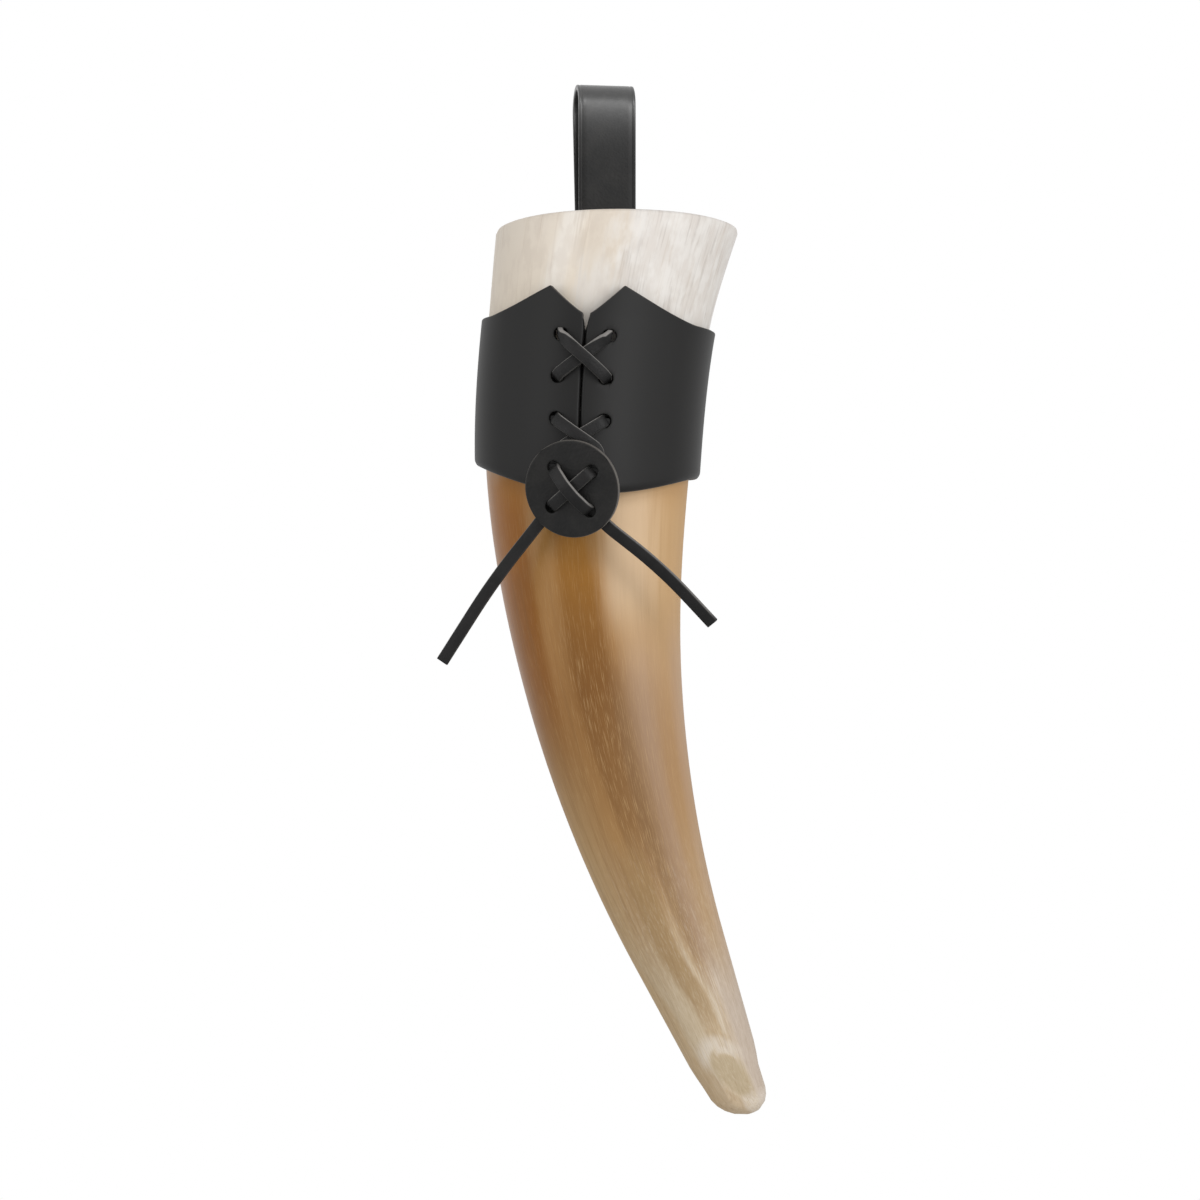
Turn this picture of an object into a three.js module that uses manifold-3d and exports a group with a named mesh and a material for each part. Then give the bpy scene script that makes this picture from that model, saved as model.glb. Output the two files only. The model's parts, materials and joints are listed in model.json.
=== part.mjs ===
// Drinking horn in a laced leather belt holder.
// Millimetres, +Z up. The laced front faces -Y and the tip of the horn bends towards +X.
// The origin is the belt seat, at the inner top of the belt loop.

import * as THREE from "three";
import { mergeVertices } from "three/addons/utils/BufferGeometryUtils.js";
import Module from "manifold-3d";

const wasm = await Module();
wasm.setup();
const rad = THREE.MathUtils.degToRad;

// Horn: widths at stations along its middle line, from the mouth down.
// The line is an arc that ends straight.
const MOUTH_WIDTH = 78.7;
const NECK_WIDTH = 74;
const NECK_ALONG = 25;
const BODY_WIDTH = 66.9;
const BODY_ALONG = 85;
const BEND_WIDTH = 52.7;
const BEND_ALONG = 150;
const SHANK_WIDTH = 34.7;
const SHANK_ALONG = 230;
const TIP_WIDTH = 20.6;
const HORN_LENGTH = 293;
const ARC_RADIUS = 405;
const STRAIGHT_FROM = 242;
const MOUTH_LEAN = rad(12.1);
const MOUTH_TILT = rad(3.4);
const OVAL_DEPTH = 0.95;
const RIM_WALL = 2.8;
const CAVITY_DEPTH = 205;
const CAVITY_FULLNESS = 4;
const TIP_ROUND = 9.3;
const TIP_FLAT_CUT = 1.1;
const TIP_FLAT_ALONG = 287;
const TIP_FLAT_TURN = rad(4);
const TIP_FLAT_SLANT = rad(11);

// Leather band: heights are measured along the horn, from the mouth downwards
const LEATHER = 1.9;
const BAND_TOP = 32;
const BAND_BOTTOM = 81;
const BAND_TILT = rad(3.3);
const BAND_FIT = 0.4;
const BAND_SLACK = 1.4;
const FRONT_ROOM = 3;
const FRONT_ROOM_REACH = 30;
const SLIT_TURN = rad(-5);
const SLIT_LEAN = rad(1.2);
const SLIT_GAP = 1.3;
const PEAK_OUT = 11.4;
const PEAK_RISE = 8.6;
const NOTCH_DEPTH = 10.6;
const NOTCH_CURVE = 1.15;
const SHOULDER_OUT = 42;
const SHOULDER_CURVE = 1.6;
const FRONT_DROP = 8.3;
const FRONT_DROP_REACH = 62;
const LACE_ROW_DROP = 5;
const LACE_ROW_PITCH = 13.5;
const LACE_HOLE_OUT = 7.5;

// Lace, button and the clearance between pieces that touch
const CLEARANCE = 0.3;
const CROSSING_CLEARANCE = 0.4;
const LACE_WIDTH = 4.0;
const LACE_THICKNESS = 1.8;
const LACE_BEND = 2;
const CROSSING_BEND = 1.3;
const CROSSING_EASE = 0.4;
const STRAND_CROSS_DROP = 5.4;
const STRAND_KNEE_OUT = 6.2;
const STRAND_KNEE_BEND = 3;
const STRAND_EASE = 0.5;
const BUTTON_DIAMETER = 31.2;
const BUTTON_SIDEWAYS = -2.1;
const BUTTON_DOWN = 88.5;
const BUTTON_EASE = 0.7;
const BUTTON_YAW = rad(-10);
const BUTTON_LEAN = rad(5.5);
const BUTTON_ROLL = rad(7.5);
const BUTTON_HOLE_PITCH = 12.8;

// Belt loop and its rivets
const LOOP_WIDTH = 20;
const LOOP_HEIGHT = 56;
const LOOP_SIDEWAYS = -2.25;
const LOOP_TURN = rad(8.5);
const FOLD_RADIUS = 6.5;
const LOOP_END_INSET = 5;
const RIVET_POST = 3.2;
const RIVET_HEAD = 9;
const RIVET_FLANGE = 0.9;
const RIVET_DOME = 1.9;
const RIVET_EDGE = 0.7;
const RIVET_SOCKET = 0.9;
const RIVET_INSET = 10;

// The horn's own coordinates: a distance along the arc, an angle round it and an offset outwards.
// Angle 0 is the front (-Y) and a quarter turn is the inner side of the bend (+X).
const STATIONS = [
  [0, MOUTH_WIDTH / 2],
  [NECK_ALONG, NECK_WIDTH / 2],
  [BODY_ALONG, BODY_WIDTH / 2],
  [BEND_ALONG, BEND_WIDTH / 2],
  [SHANK_ALONG, SHANK_WIDTH / 2],
  [HORN_LENGTH, TIP_WIDTH / 2],
];

function stationSlope(i) {
  const before = STATIONS[Math.max(i - 1, 0)];
  const after = STATIONS[Math.min(i + 1, STATIONS.length - 1)];
  return (after[1] - before[1]) / (after[0] - before[0]);
}

function hornRadius(along) {
  if (along <= 0) return STATIONS[0][1] + stationSlope(0) * along;
  if (along >= HORN_LENGTH) return STATIONS.at(-1)[1];
  const i = STATIONS.findLastIndex((station) => station[0] <= along);
  const [from, startRadius] = STATIONS[i];
  const [to, endRadius] = STATIONS[i + 1];
  const span = to - from;
  const t = (along - from) / span;
  const rise = endRadius - startRadius;
  const entry = stationSlope(i) * span;
  const leave = stationSlope(i + 1) * span;
  const cubic = entry + leave - 2 * rise;
  const square = 3 * rise - 2 * entry - leave;
  return startRadius + t * (entry + t * (square + t * cubic));
}

const ARC_CENTRE_X = ARC_RADIUS * Math.cos(MOUTH_LEAN);
const ARC_CENTRE_Z = -ARC_RADIUS * Math.sin(MOUTH_LEAN);

function lean(along) {
  return along / ARC_RADIUS - MOUTH_LEAN;
}

// A point by its place along the arc, its offset towards the inner side of the bend and its depth.
function arcPoint(along, inward, depth) {
  const reach = ARC_RADIUS - inward;
  const bent = Math.min(along, STRAIGHT_FROM);
  const straight = along - bent;
  const angle = lean(bent);
  return new THREE.Vector3(
    ARC_CENTRE_X - reach * Math.cos(angle) + straight * Math.sin(angle),
    depth,
    ARC_CENTRE_Z - reach * Math.sin(angle) - straight * Math.cos(angle),
  );
}

function hornPoint(along, angle, offset, radius = hornRadius(along)) {
  const inward = (radius + offset) * Math.sin(angle);
  const depth = -(radius * OVAL_DEPTH + offset) * Math.cos(angle);
  return arcPoint(along, inward, depth);
}

const SOLVE_STEPS = 20;

// How far along the arc the mouth's plane cuts the horn, at an angle round it.
function mouthAlong(angle, offset) {
  let along = 0;
  for (let step = 0; step < SOLVE_STEPS; step++) {
    const point = hornPoint(along, angle, offset);
    along += point.z + point.y * Math.tan(MOUTH_TILT);
  }
  return along;
}

// The depth of a surface at the back of the horn, offset outwards, above a point of the XZ plane.
function backDepth(x, z, offsetAt) {
  const reach = Math.hypot(ARC_CENTRE_X - x, ARC_CENTRE_Z - z);
  const angle = Math.atan2(ARC_CENTRE_Z - z, ARC_CENTRE_X - x);
  const along = (angle + MOUTH_LEAN) * ARC_RADIUS;
  const radius = hornRadius(along);
  const offset = offsetAt(along);
  const share = (ARC_RADIUS - reach) / (radius + offset);
  return (radius * OVAL_DEPTH + offset) * Math.sqrt(1 - share * share);
}

// Closed solids from rings of points
function closedGeometry(points, triangles) {
  const geometry = new THREE.BufferGeometry();
  const faces = triangles.map((triangle) => triangle.map((i) => points[i]));
  let volume = 0;
  for (const [a, b, c] of faces) volume += a.dot(new THREE.Vector3().crossVectors(b, c));
  const index = triangles.flatMap(([a, b, c]) => (volume > 0 ? [a, b, c] : [a, c, b]));
  const position = points.flatMap((point) => point.toArray());
  geometry.setAttribute("position", new THREE.Float32BufferAttribute(position, 3));
  geometry.setIndex(index);
  return geometry;
}

function sideTriangles(ringCount, ringSize) {
  const triangles = [];
  for (let ring = 0; ring + 1 < ringCount; ring++) {
    for (let i = 0; i < ringSize; i++) {
      const next = (i + 1) % ringSize;
      const a = ring * ringSize + i;
      const b = ring * ringSize + next;
      triangles.push([a, b, b + ringSize], [a, b + ringSize, a + ringSize]);
    }
  }
  return triangles;
}

// A loft through flat sections whose second half runs back beside the first, capped at both ends.
function stripGeometry(rings) {
  const size = rings[0].length;
  const triangles = sideTriangles(rings.length, size);
  const last = (rings.length - 1) * size;
  for (let i = 0; i + 1 < size / 2; i++) {
    const facing = size - 1 - i;
    triangles.push([i, facing, facing - 1], [i, facing - 1, i + 1]);
    const [a, b, c, d] = [i, i + 1, facing - 1, facing].map((place) => last + place);
    triangles.push([a, c, d], [a, b, c]);
  }
  return closedGeometry(rings.flat(), triangles);
}

// A loft through round rings that closes on a point at each end.
function poleGeometry(startPole, rings, endPole) {
  const size = rings[0].length;
  const triangles = sideTriangles(rings.length, size);
  const start = rings.length * size;
  const last = start - size;
  for (let i = 0; i < size; i++) {
    const next = (i + 1) % size;
    triangles.push([start, next, i], [start + 1, last + i, last + next]);
  }
  return closedGeometry([...rings.flat(), startPole, endPole], triangles);
}

// Boolean cuts
function toSolid(geometry) {
  const bare = geometry.clone();
  bare.deleteAttribute("normal");
  bare.deleteAttribute("uv");
  const merged = mergeVertices(bare);
  const vertProperties = new Float32Array(merged.attributes.position.array);
  const triVerts = new Uint32Array(merged.index.array);
  return new wasm.Manifold(new wasm.Mesh({ numProp: 3, vertProperties, triVerts }));
}

function cutAway(geometry, cutters) {
  let solid = toSolid(geometry);
  for (const cutter of cutters) solid = solid.subtract(toSolid(cutter));
  const mesh = solid.getMesh();
  const result = new THREE.BufferGeometry();
  result.setAttribute("position", new THREE.BufferAttribute(new Float32Array(mesh.vertProperties), 3));
  result.setIndex(new THREE.BufferAttribute(new Uint32Array(mesh.triVerts), 1));
  return result;
}

// A cylinder centred on a point, with its axis along a direction.
function drill(centre, direction, diameter, length, sides) {
  const cylinder = new THREE.CylinderGeometry(diameter / 2, diameter / 2, length, sides);
  const turn = new THREE.Quaternion().setFromUnitVectors(new THREE.Vector3(0, 1, 0), direction);
  return cylinder.applyQuaternion(turn).translate(centre.x, centre.y, centre.z);
}

// The horn
const HORN_SIDES = 40;
const HORN_STEPS = 18;
const CAVITY_STEPS = 11;
const LIP_STEPS = 4;
const TIP_STEPS = 4;

function hornRing(pointAt) {
  return Array.from({ length: HORN_SIDES }, (_, i) => pointAt((i / HORN_SIDES) * 2 * Math.PI));
}

// The wall thickens down the horn until the cavity closes in a rounded end.
function cavityRadius(along) {
  const share = Math.max(along, 0) / CAVITY_DEPTH;
  return (hornRadius(along) - RIM_WALL) * Math.sqrt(Math.max(1 - share ** CAVITY_FULLNESS, 0));
}

function tipFlatCutter() {
  const surface = hornPoint(TIP_FLAT_ALONG, TIP_FLAT_TURN, 0);
  const outward = hornPoint(TIP_FLAT_ALONG, TIP_FLAT_TURN, 1).sub(surface);
  const heading = arcPoint(TIP_FLAT_ALONG + 1, 0, 0).sub(arcPoint(TIP_FLAT_ALONG, 0, 0));
  outward.addScaledVector(heading, Math.tan(TIP_FLAT_SLANT)).normalize();
  const size = 3 * TIP_WIDTH;
  const face = hornPoint(TIP_FLAT_ALONG, TIP_FLAT_TURN, -TIP_FLAT_CUT);
  return drill(face.addScaledVector(outward, size / 2), outward, size, size, HORN_SIDES);
}

function hornGeometry() {
  const lip = RIM_WALL / 2;
  const rings = [];
  for (let step = TIP_STEPS - 1; step > 0; step--) {
    const turn = (step / TIP_STEPS) * (Math.PI / 2);
    const along = HORN_LENGTH + TIP_ROUND * Math.sin(turn);
    const radius = (TIP_WIDTH / 2) * Math.cos(turn);
    rings.push(hornRing((angle) => hornPoint(along, angle, 0, radius)));
  }
  for (let step = 0; step < HORN_STEPS; step++) {
    rings.push(hornRing((angle) => {
      const top = mouthAlong(angle, 0) + lip;
      return hornPoint(HORN_LENGTH + (step / HORN_STEPS) * (top - HORN_LENGTH), angle, 0);
    }));
  }
  for (let step = 0; step <= LIP_STEPS; step++) {
    const turn = (step / LIP_STEPS) * Math.PI;
    const inset = -lip * (1 - Math.cos(turn));
    const drop = lip * (1 - Math.sin(turn));
    rings.push(hornRing((angle) => hornPoint(mouthAlong(angle, inset) + drop, angle, inset)));
  }
  for (let step = 1; step < CAVITY_STEPS; step++) {
    const share = Math.sin((step / CAVITY_STEPS) * (Math.PI / 2));
    rings.push(hornRing((angle) => {
      const top = mouthAlong(angle, -RIM_WALL) + lip;
      const along = top + share * (CAVITY_DEPTH - top);
      return hornPoint(along, angle, 0, cavityRadius(along));
    }));
  }
  const tip = arcPoint(HORN_LENGTH + TIP_ROUND, 0, 0);
  const cavityEnd = arcPoint(CAVITY_DEPTH, 0, 0);
  return cutAway(poleGeometry(tip, rings, cavityEnd), [tipFlatCutter()]);
}

// The band's own coordinates: a distance round from the slit, a distance down and a height
// above the leather.
const BAND_RADIUS = hornRadius(BAND_TOP) + BAND_FIT + LEATHER;
const BAND_HALF_GIRTH = Math.PI * BAND_RADIUS;

// Room between the horn and the leather: none at the top edge, some at the bottom, more behind the lacing.
function bandRoom(round, down) {
  const slack = THREE.MathUtils.clamp((down - BAND_TOP) / (BAND_BOTTOM - BAND_TOP), 0, 1) * BAND_SLACK;
  const share = Math.min(Math.abs(round) / FRONT_ROOM_REACH, 1);
  return BAND_FIT + slack + FRONT_ROOM * Math.cos((share * Math.PI) / 2) ** 2;
}

function bandPoint(round, down, height) {
  const sideways = round + (down - BAND_TOP) * Math.tan(SLIT_LEAN);
  const angle = SLIT_TURN + sideways / BAND_RADIUS;
  const level = Math.sin(lean(down)) + Math.tan(BAND_TILT);
  const along = down + BAND_RADIUS * Math.sin(angle) * level;
  return hornPoint(along, angle, bandRoom(round, down) + LEATHER + height);
}

function bandOutward(round, down) {
  const across = bandPoint(round + 1, down, 0).sub(bandPoint(round - 1, down, 0));
  const below = bandPoint(round, down + 1, 0).sub(bandPoint(round, down - 1, 0));
  return below.cross(across).normalize();
}

function bandTopEdge(round) {
  const out = Math.abs(round);
  const peak = BAND_TOP - PEAK_RISE;
  if (out < PEAK_OUT) {
    const climb = Math.max(out - SLIT_GAP / 2, 0) / (PEAK_OUT - SLIT_GAP / 2);
    return peak + NOTCH_DEPTH * (1 - climb ** NOTCH_CURVE);
  }
  const fall = Math.min((out - PEAK_OUT) / (SHOULDER_OUT - PEAK_OUT), 1);
  return BAND_TOP - PEAK_RISE * (1 - fall) ** SHOULDER_CURVE;
}

function bandBottomEdge(round) {
  const share = Math.min(Math.abs(round) / FRONT_DROP_REACH, 1);
  return BAND_BOTTOM + FRONT_DROP * (0.5 + 0.5 * Math.cos(share * Math.PI));
}

const LACE_HOLE = Math.hypot(LACE_WIDTH, LACE_THICKNESS) + 2 * CLEARANCE;
const HOLE_SIDES = 14;
const laceRow = (row) => BAND_TOP - PEAK_RISE + NOTCH_DEPTH + LACE_ROW_DROP + row * LACE_ROW_PITCH;

// Where the belt loop lies on the back of the band
const bandBackOffset = (along) => bandRoom(BAND_HALF_GIRTH, along) + LEATHER;
const LOOP_TOP_Z = arcPoint(BAND_TOP, 0, 0).z;
const LOOP_BOTTOM_Z = arcPoint(BAND_BOTTOM - LOOP_END_INSET, 0, 0).z;
const RIVET_HEIGHTS = [LOOP_TOP_Z - RIVET_INSET, LOOP_BOTTOM_Z + RIVET_INSET];

function strapDepth(z) {
  return backDepth(LOOP_SIDEWAYS, z, bandBackOffset) + CLEARANCE;
}

// The turn about Z at which the strap lies flat on the band at the rivets.
const RIVET_TURN = (() => {
  const z = (LOOP_TOP_Z + LOOP_BOTTOM_Z) / 2;
  const [left, right] = [-1, 1].map((step) => backDepth(LOOP_SIDEWAYS + step, z, bandBackOffset));
  return Math.atan((right - left) / 2);
})();
const rearward = (turn) => new THREE.Vector3(-Math.sin(turn), Math.cos(turn), 0);
const sideward = (turn) => new THREE.Vector3(Math.cos(turn), Math.sin(turn), 0);
const RIVET_AXIS = rearward(RIVET_TURN);

// A point on a rivet's axis, at a depth behind the band's outer face.
function rivetPoint(z, depth) {
  const seat = new THREE.Vector3(LOOP_SIDEWAYS, strapDepth(z) - CLEARANCE, z);
  return seat.addScaledVector(RIVET_AXIS, depth);
}

const RIVET_SIDES = 20;
const RIVET_HOLE = RIVET_POST + 2 * CLEARANCE;
const POCKET_DEPTH = RIVET_FLANGE + CLEARANCE;
const BAND_COLUMN = 5.5;
const BAND_ROWS = 6;
const NOTCH_COLUMNS = [0, 0.15, 0.33, 0.6];

function bandGeometry() {
  const slit = SLIT_GAP / 2;
  const toPeak = NOTCH_COLUMNS.map((share) => slit + share * (PEAK_OUT - slit));
  const columns = Math.round((BAND_HALF_GIRTH - PEAK_OUT) / BAND_COLUMN);
  const column = (BAND_HALF_GIRTH - PEAK_OUT) / columns;
  const pastPeak = Array.from({ length: columns }, (_, i) => PEAK_OUT + i * column);
  const girth = [...toPeak, ...pastPeak];
  const farSide = girth.map((reach) => 2 * BAND_HALF_GIRTH - reach).reverse();
  const stops = [...girth, BAND_HALF_GIRTH, ...farSide];
  const rings = stops.map((stop) => {
    const round = stop <= BAND_HALF_GIRTH ? stop : stop - 2 * BAND_HALF_GIRTH;
    const top = bandTopEdge(round);
    const bottom = bandBottomEdge(round);
    const downs = Array.from({ length: BAND_ROWS + 1 }, (_, i) => top + (i / BAND_ROWS) * (bottom - top));
    const outer = downs.map((down) => bandPoint(round, down, 0));
    const inner = downs.map((down) => bandPoint(round, down, -LEATHER));
    return [...outer, ...inner.reverse()];
  });
  const cutters = [];
  for (const side of [-1, 1]) {
    for (const row of [0, 1, 2]) {
      const round = side * LACE_HOLE_OUT;
      const centre = bandPoint(round, laceRow(row), -LEATHER / 2);
      cutters.push(drill(centre, bandOutward(round, laceRow(row)), LACE_HOLE, 3 * LEATHER, HOLE_SIDES));
    }
  }
  for (const z of RIVET_HEIGHTS) {
    cutters.push(drill(rivetPoint(z, 0), RIVET_AXIS, RIVET_HOLE, 4 * LEATHER, RIVET_SIDES));
    const pocketMiddle = rivetPoint(z, POCKET_DEPTH - LEATHER - RIVET_HEAD / 2);
    cutters.push(drill(pocketMiddle, RIVET_AXIS, RIVET_HEAD + 2 * CLEARANCE, RIVET_HEAD, RIVET_SIDES));
  }
  return cutAway(stripGeometry(rings), cutters);
}

// The belt loop: one strap that rises behind the mouth, folds back and comes down behind itself
const RIM_BACK_Z = hornPoint(mouthAlong(Math.PI, 0), Math.PI, 0).z;
const FOLD_Z = LOOP_HEIGHT - FOLD_RADIUS;

// Depth at which the turned strap just clears the back of the mouth.
const LOOP_FRONT_DEPTH = (() => {
  let depth = 0;
  for (let share = -1; share <= 1; share += 0.25) {
    const out = (share * LOOP_WIDTH) / 2;
    const rim = backDepth(LOOP_SIDEWAYS + out * Math.cos(LOOP_TURN), RIM_BACK_Z, () => 0);
    depth = Math.max(depth, rim + CLEARANCE - out * Math.sin(LOOP_TURN));
  }
  return depth;
})();

// Place and turn of the strap's front leg at a height.
function legAt(z) {
  const share = THREE.MathUtils.smoothstep(z, LOOP_TOP_Z, RIM_BACK_Z);
  const turn = RIVET_TURN + share * (LOOP_TURN - RIVET_TURN);
  const low = strapDepth(Math.min(z, LOOP_TOP_Z));
  return { turn, depth: low + share * (LOOP_FRONT_DEPTH - low) };
}

// A point of the strap by its height, its depth behind the front leg's front face and its place across.
function strapPoint(z, behind, across) {
  const { turn, depth } = legAt(z);
  const point = new THREE.Vector3(LOOP_SIDEWAYS, depth, z);
  return point.addScaledVector(rearward(turn), behind).addScaledVector(sideward(turn), across);
}

const REAR_JOIN = LEATHER + CLEARANCE;
const FOLD_DEPTH = LEATHER + FOLD_RADIUS;
const TWIST_STEPS = 6;
const FOLD_STEPS = 10;

// Slant of the rear leg, from the tangent of the fold's inside to the place where the legs meet.
const REAR_SLANT = (() => {
  const drop = FOLD_Z - LOOP_TOP_Z;
  const out = REAR_JOIN - FOLD_DEPTH;
  return Math.asin(FOLD_RADIUS / Math.hypot(drop, out)) - Math.atan2(out, drop);
})();

function beltLoopGeometry() {
  const path = [];
  const legHeights = [LOOP_BOTTOM_Z, ...RIVET_HEIGHTS.toReversed()];
  for (let step = 0; step <= TWIST_STEPS; step++) {
    legHeights.push(LOOP_TOP_Z + (step / TWIST_STEPS) * (RIM_BACK_Z - LOOP_TOP_Z));
  }
  for (const z of legHeights) path.push([z, LEATHER, z, 0]);
  for (let step = 0; step <= FOLD_STEPS; step++) {
    const turn = (step / FOLD_STEPS) * (Math.PI + REAR_SLANT);
    const outer = FOLD_RADIUS + LEATHER;
    path.push([
      FOLD_Z + FOLD_RADIUS * Math.sin(turn),
      FOLD_DEPTH - FOLD_RADIUS * Math.cos(turn),
      FOLD_Z + outer * Math.sin(turn),
      FOLD_DEPTH - outer * Math.cos(turn),
    ]);
  }
  const endZ = FOLD_Z - FOLD_RADIUS * Math.sin(REAR_SLANT);
  const endBehind = FOLD_DEPTH + FOLD_RADIUS * Math.cos(REAR_SLANT);
  const rearBehind = (z) => endBehind - (endZ - z) * Math.tan(REAR_SLANT);
  for (const z of legHeights.toReversed()) {
    const inner = Math.max(rearBehind(z), REAR_JOIN);
    path.push([z, inner, z, inner + LEATHER]);
  }
  const half = LOOP_WIDTH / 2;
  const rings = path.map(([innerZ, innerBehind, outerZ, outerBehind]) => [
    strapPoint(innerZ, innerBehind, -half),
    strapPoint(innerZ, innerBehind, half),
    strapPoint(outerZ, outerBehind, half),
    strapPoint(outerZ, outerBehind, -half),
  ]);
  const cutters = RIVET_HEIGHTS.map((z) =>
    drill(rivetPoint(z, REAR_JOIN), RIVET_AXIS, RIVET_HOLE, 6 * LEATHER, RIVET_SIDES),
  );
  return cutAway(stripGeometry(rings), cutters);
}

// Rivets: a flanged post from inside the band and a domed cap behind the strap
const STACK = 2 * (LEATHER + CLEARANCE);
const DOME_STEPS = 4;

function revolve(profile) {
  return new THREE.LatheGeometry(profile.map(([r, y]) => new THREE.Vector2(r, y)), RIVET_SIDES);
}

function rivetPostGeometry() {
  const post = RIVET_POST / 2;
  const head = RIVET_HEAD / 2;
  const end = LEATHER + STACK + RIVET_SOCKET;
  return revolve([
    [0, 0],
    [head, 0],
    [head, RIVET_FLANGE],
    [post, RIVET_FLANGE],
    [post, end],
    [0, end],
  ]);
}

function rivetCapGeometry() {
  const socket = RIVET_POST / 2 + CLEARANCE;
  const head = RIVET_HEAD / 2;
  const profile = [
    [0, RIVET_SOCKET],
    [socket, RIVET_SOCKET],
    [socket, 0],
    [head, 0],
  ];
  for (let step = 0; step < DOME_STEPS; step++) {
    const turn = (step / DOME_STEPS) * (Math.PI / 2);
    profile.push([head * Math.cos(turn), RIVET_EDGE + (RIVET_DOME - RIVET_EDGE) * Math.sin(turn)]);
  }
  return revolve([...profile, [0, RIVET_DOME]]);
}

// Lace: a flat thong with eased edges, swept along corners that are rounded off
const CURVE_STEPS = 4;
const PROBE = 0.01;

function routeSamples(corners) {
  const samples = [];
  for (let i = 0; i + 1 < corners.length; i++) {
    const from = corners[i];
    const to = corners[i + 1];
    const direction = to.at.clone().sub(from.at);
    const length = direction.length();
    direction.normalize();
    const start = i === 0 ? 0 : from.bend;
    const end = i + 2 === corners.length ? length : length - to.bend;
    const pieces = Math.max(1, Math.round((end - start) / (from.step ?? length)));
    for (let piece = end - start > PROBE ? 0 : 1; piece <= pieces; piece++) {
      const reach = start + (piece / pieces) * (end - start);
      const at = from.at.clone().addScaledVector(direction, reach);
      samples.push({ at, tangent: direction.clone(), leg: i, share: reach / length });
    }
    if (i + 2 < corners.length) {
      const after = corners[i + 2].at.clone().sub(to.at).normalize();
      const entry = to.at.clone().addScaledVector(direction, -to.bend);
      const leave = to.at.clone().addScaledVector(after, to.bend);
      const curve = new THREE.QuadraticBezierCurve3(entry, to.at, leave);
      for (let step = 1; step < CURVE_STEPS; step++) {
        const t = step / CURVE_STEPS;
        const nextLeg = t > 0.5;
        samples.push({
          at: curve.getPoint(t),
          tangent: curve.getTangent(t),
          leg: nextLeg ? i + 1 : i,
          share: nextLeg ? 0 : 1,
        });
      }
    }
  }
  return samples;
}

// Each leg of a route has its own direction across the thong. A leg through a hole has none,
// and the thong twists there from the leg before to the leg after.
function laceGeometry(corners, acrossOfLegs, place = (point) => point) {
  const half = LACE_WIDTH / 2;
  const thick = LACE_THICKNESS / 2;
  const ease = LACE_THICKNESS / 4;
  const outline = [
    [-half, ease - thick],
    [ease - half, -thick],
    [half - ease, -thick],
    [half, ease - thick],
    [half, thick - ease],
    [half - ease, thick],
    [ease - half, thick],
    [-half, thick - ease],
  ];
  const directions = acrossOfLegs.map((across) => across?.clone());
  let lastKnown;
  for (const across of directions) {
    if (across && lastKnown && across.dot(lastKnown) < 0) across.negate();
    lastKnown = across ?? lastKnown;
  }
  const rings = routeSamples(corners).map(({ at, tangent, leg, share }) => {
    const before = directions[leg] ?? directions[leg - 1] ?? directions[leg + 1];
    const after = directions[leg] ?? directions[leg + 1] ?? directions[leg - 1];
    const across = before.clone().lerp(after, share);
    const centre = place(at);
    const ahead = place(at.clone().addScaledVector(tangent, PROBE)).sub(centre).normalize();
    const wide = place(at.clone().addScaledVector(across, PROBE)).sub(centre);
    wide.addScaledVector(ahead, -wide.dot(ahead)).normalize();
    const up = new THREE.Vector3().crossVectors(ahead, wide);
    return outline.map(([x, y]) => centre.clone().addScaledVector(wide, x).addScaledVector(up, y));
  });
  return stripGeometry(rings);
}

const ON_FACE = CLEARANCE + LACE_THICKNESS / 2;
const OVER_CROSSING = ON_FACE + LACE_THICKNESS + CROSSING_CLEARANCE;
const BEHIND_FACE = -LEATHER - ON_FACE;
const HOLE_MIDDLE = -LEATHER / 2;
const MAP_STEP = 2.6;

function corner(at, bend = LACE_BEND, step = undefined) {
  return { at, bend, step };
}

// A thong's way from one hole to another over a face, lifted where it crosses over its partner.
function crossingCorners(from, to, lifted) {
  const start = new THREE.Vector3(...from, ON_FACE);
  const end = new THREE.Vector3(...to, ON_FACE);
  if (!lifted) return [corner(start, LACE_BEND, MAP_STEP), corner(end)];
  const middle = start.clone().lerp(end, 0.5);
  const along = end.clone().sub(start).normalize();
  const plateau = LACE_WIDTH / 2 + CROSSING_EASE;
  const rise = new THREE.Vector3(0, 0, OVER_CROSSING - ON_FACE);
  const up = middle.clone().addScaledVector(along, -plateau).add(rise);
  const down = middle.clone().addScaledVector(along, plateau).add(rise);
  return [
    corner(start, LACE_BEND, MAP_STEP),
    corner(up, CROSSING_BEND),
    corner(down, CROSSING_BEND, MAP_STEP),
    corner(end),
  ];
}

function acrossOnFace(from, to) {
  return new THREE.Vector3(from[1] - to[1], to[0] - from[0], 0).normalize();
}

// The laced stretch: a bar inside the band at the top row, an X over the front, then two runs inside.
function laceUpperGeometry() {
  const left = (row) => [-LACE_HOLE_OUT, laceRow(row)];
  const right = (row) => [LACE_HOLE_OUT, laceRow(row)];
  const inside = (hole) => corner(new THREE.Vector3(...hole, BEHIND_FACE), LACE_BEND, MAP_STEP);
  const holeEnd = (hole) => corner(new THREE.Vector3(...hole, HOLE_MIDDLE - CLEARANCE / 2));
  const corners = [
    holeEnd(left(2)),
    inside(left(2)),
    inside(left(1)),
    ...crossingCorners(left(1), right(0), false),
    inside(right(0)),
    inside(left(0)),
    ...crossingCorners(left(0), right(1), true),
    inside(right(1)),
    inside(right(2)),
    holeEnd(right(2)),
  ];
  const run = new THREE.Vector3(1, 0, 0);
  const bar = new THREE.Vector3(0, 1, 0);
  const under = acrossOnFace(left(1), right(0));
  const over = acrossOnFace(left(0), right(1));
  const across = [run, run, null, under, null, bar, null, over, over, over, null, run, run];
  return laceGeometry(corners, across, (point) => bandPoint(point.x, point.y, point.z));
}

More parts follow.
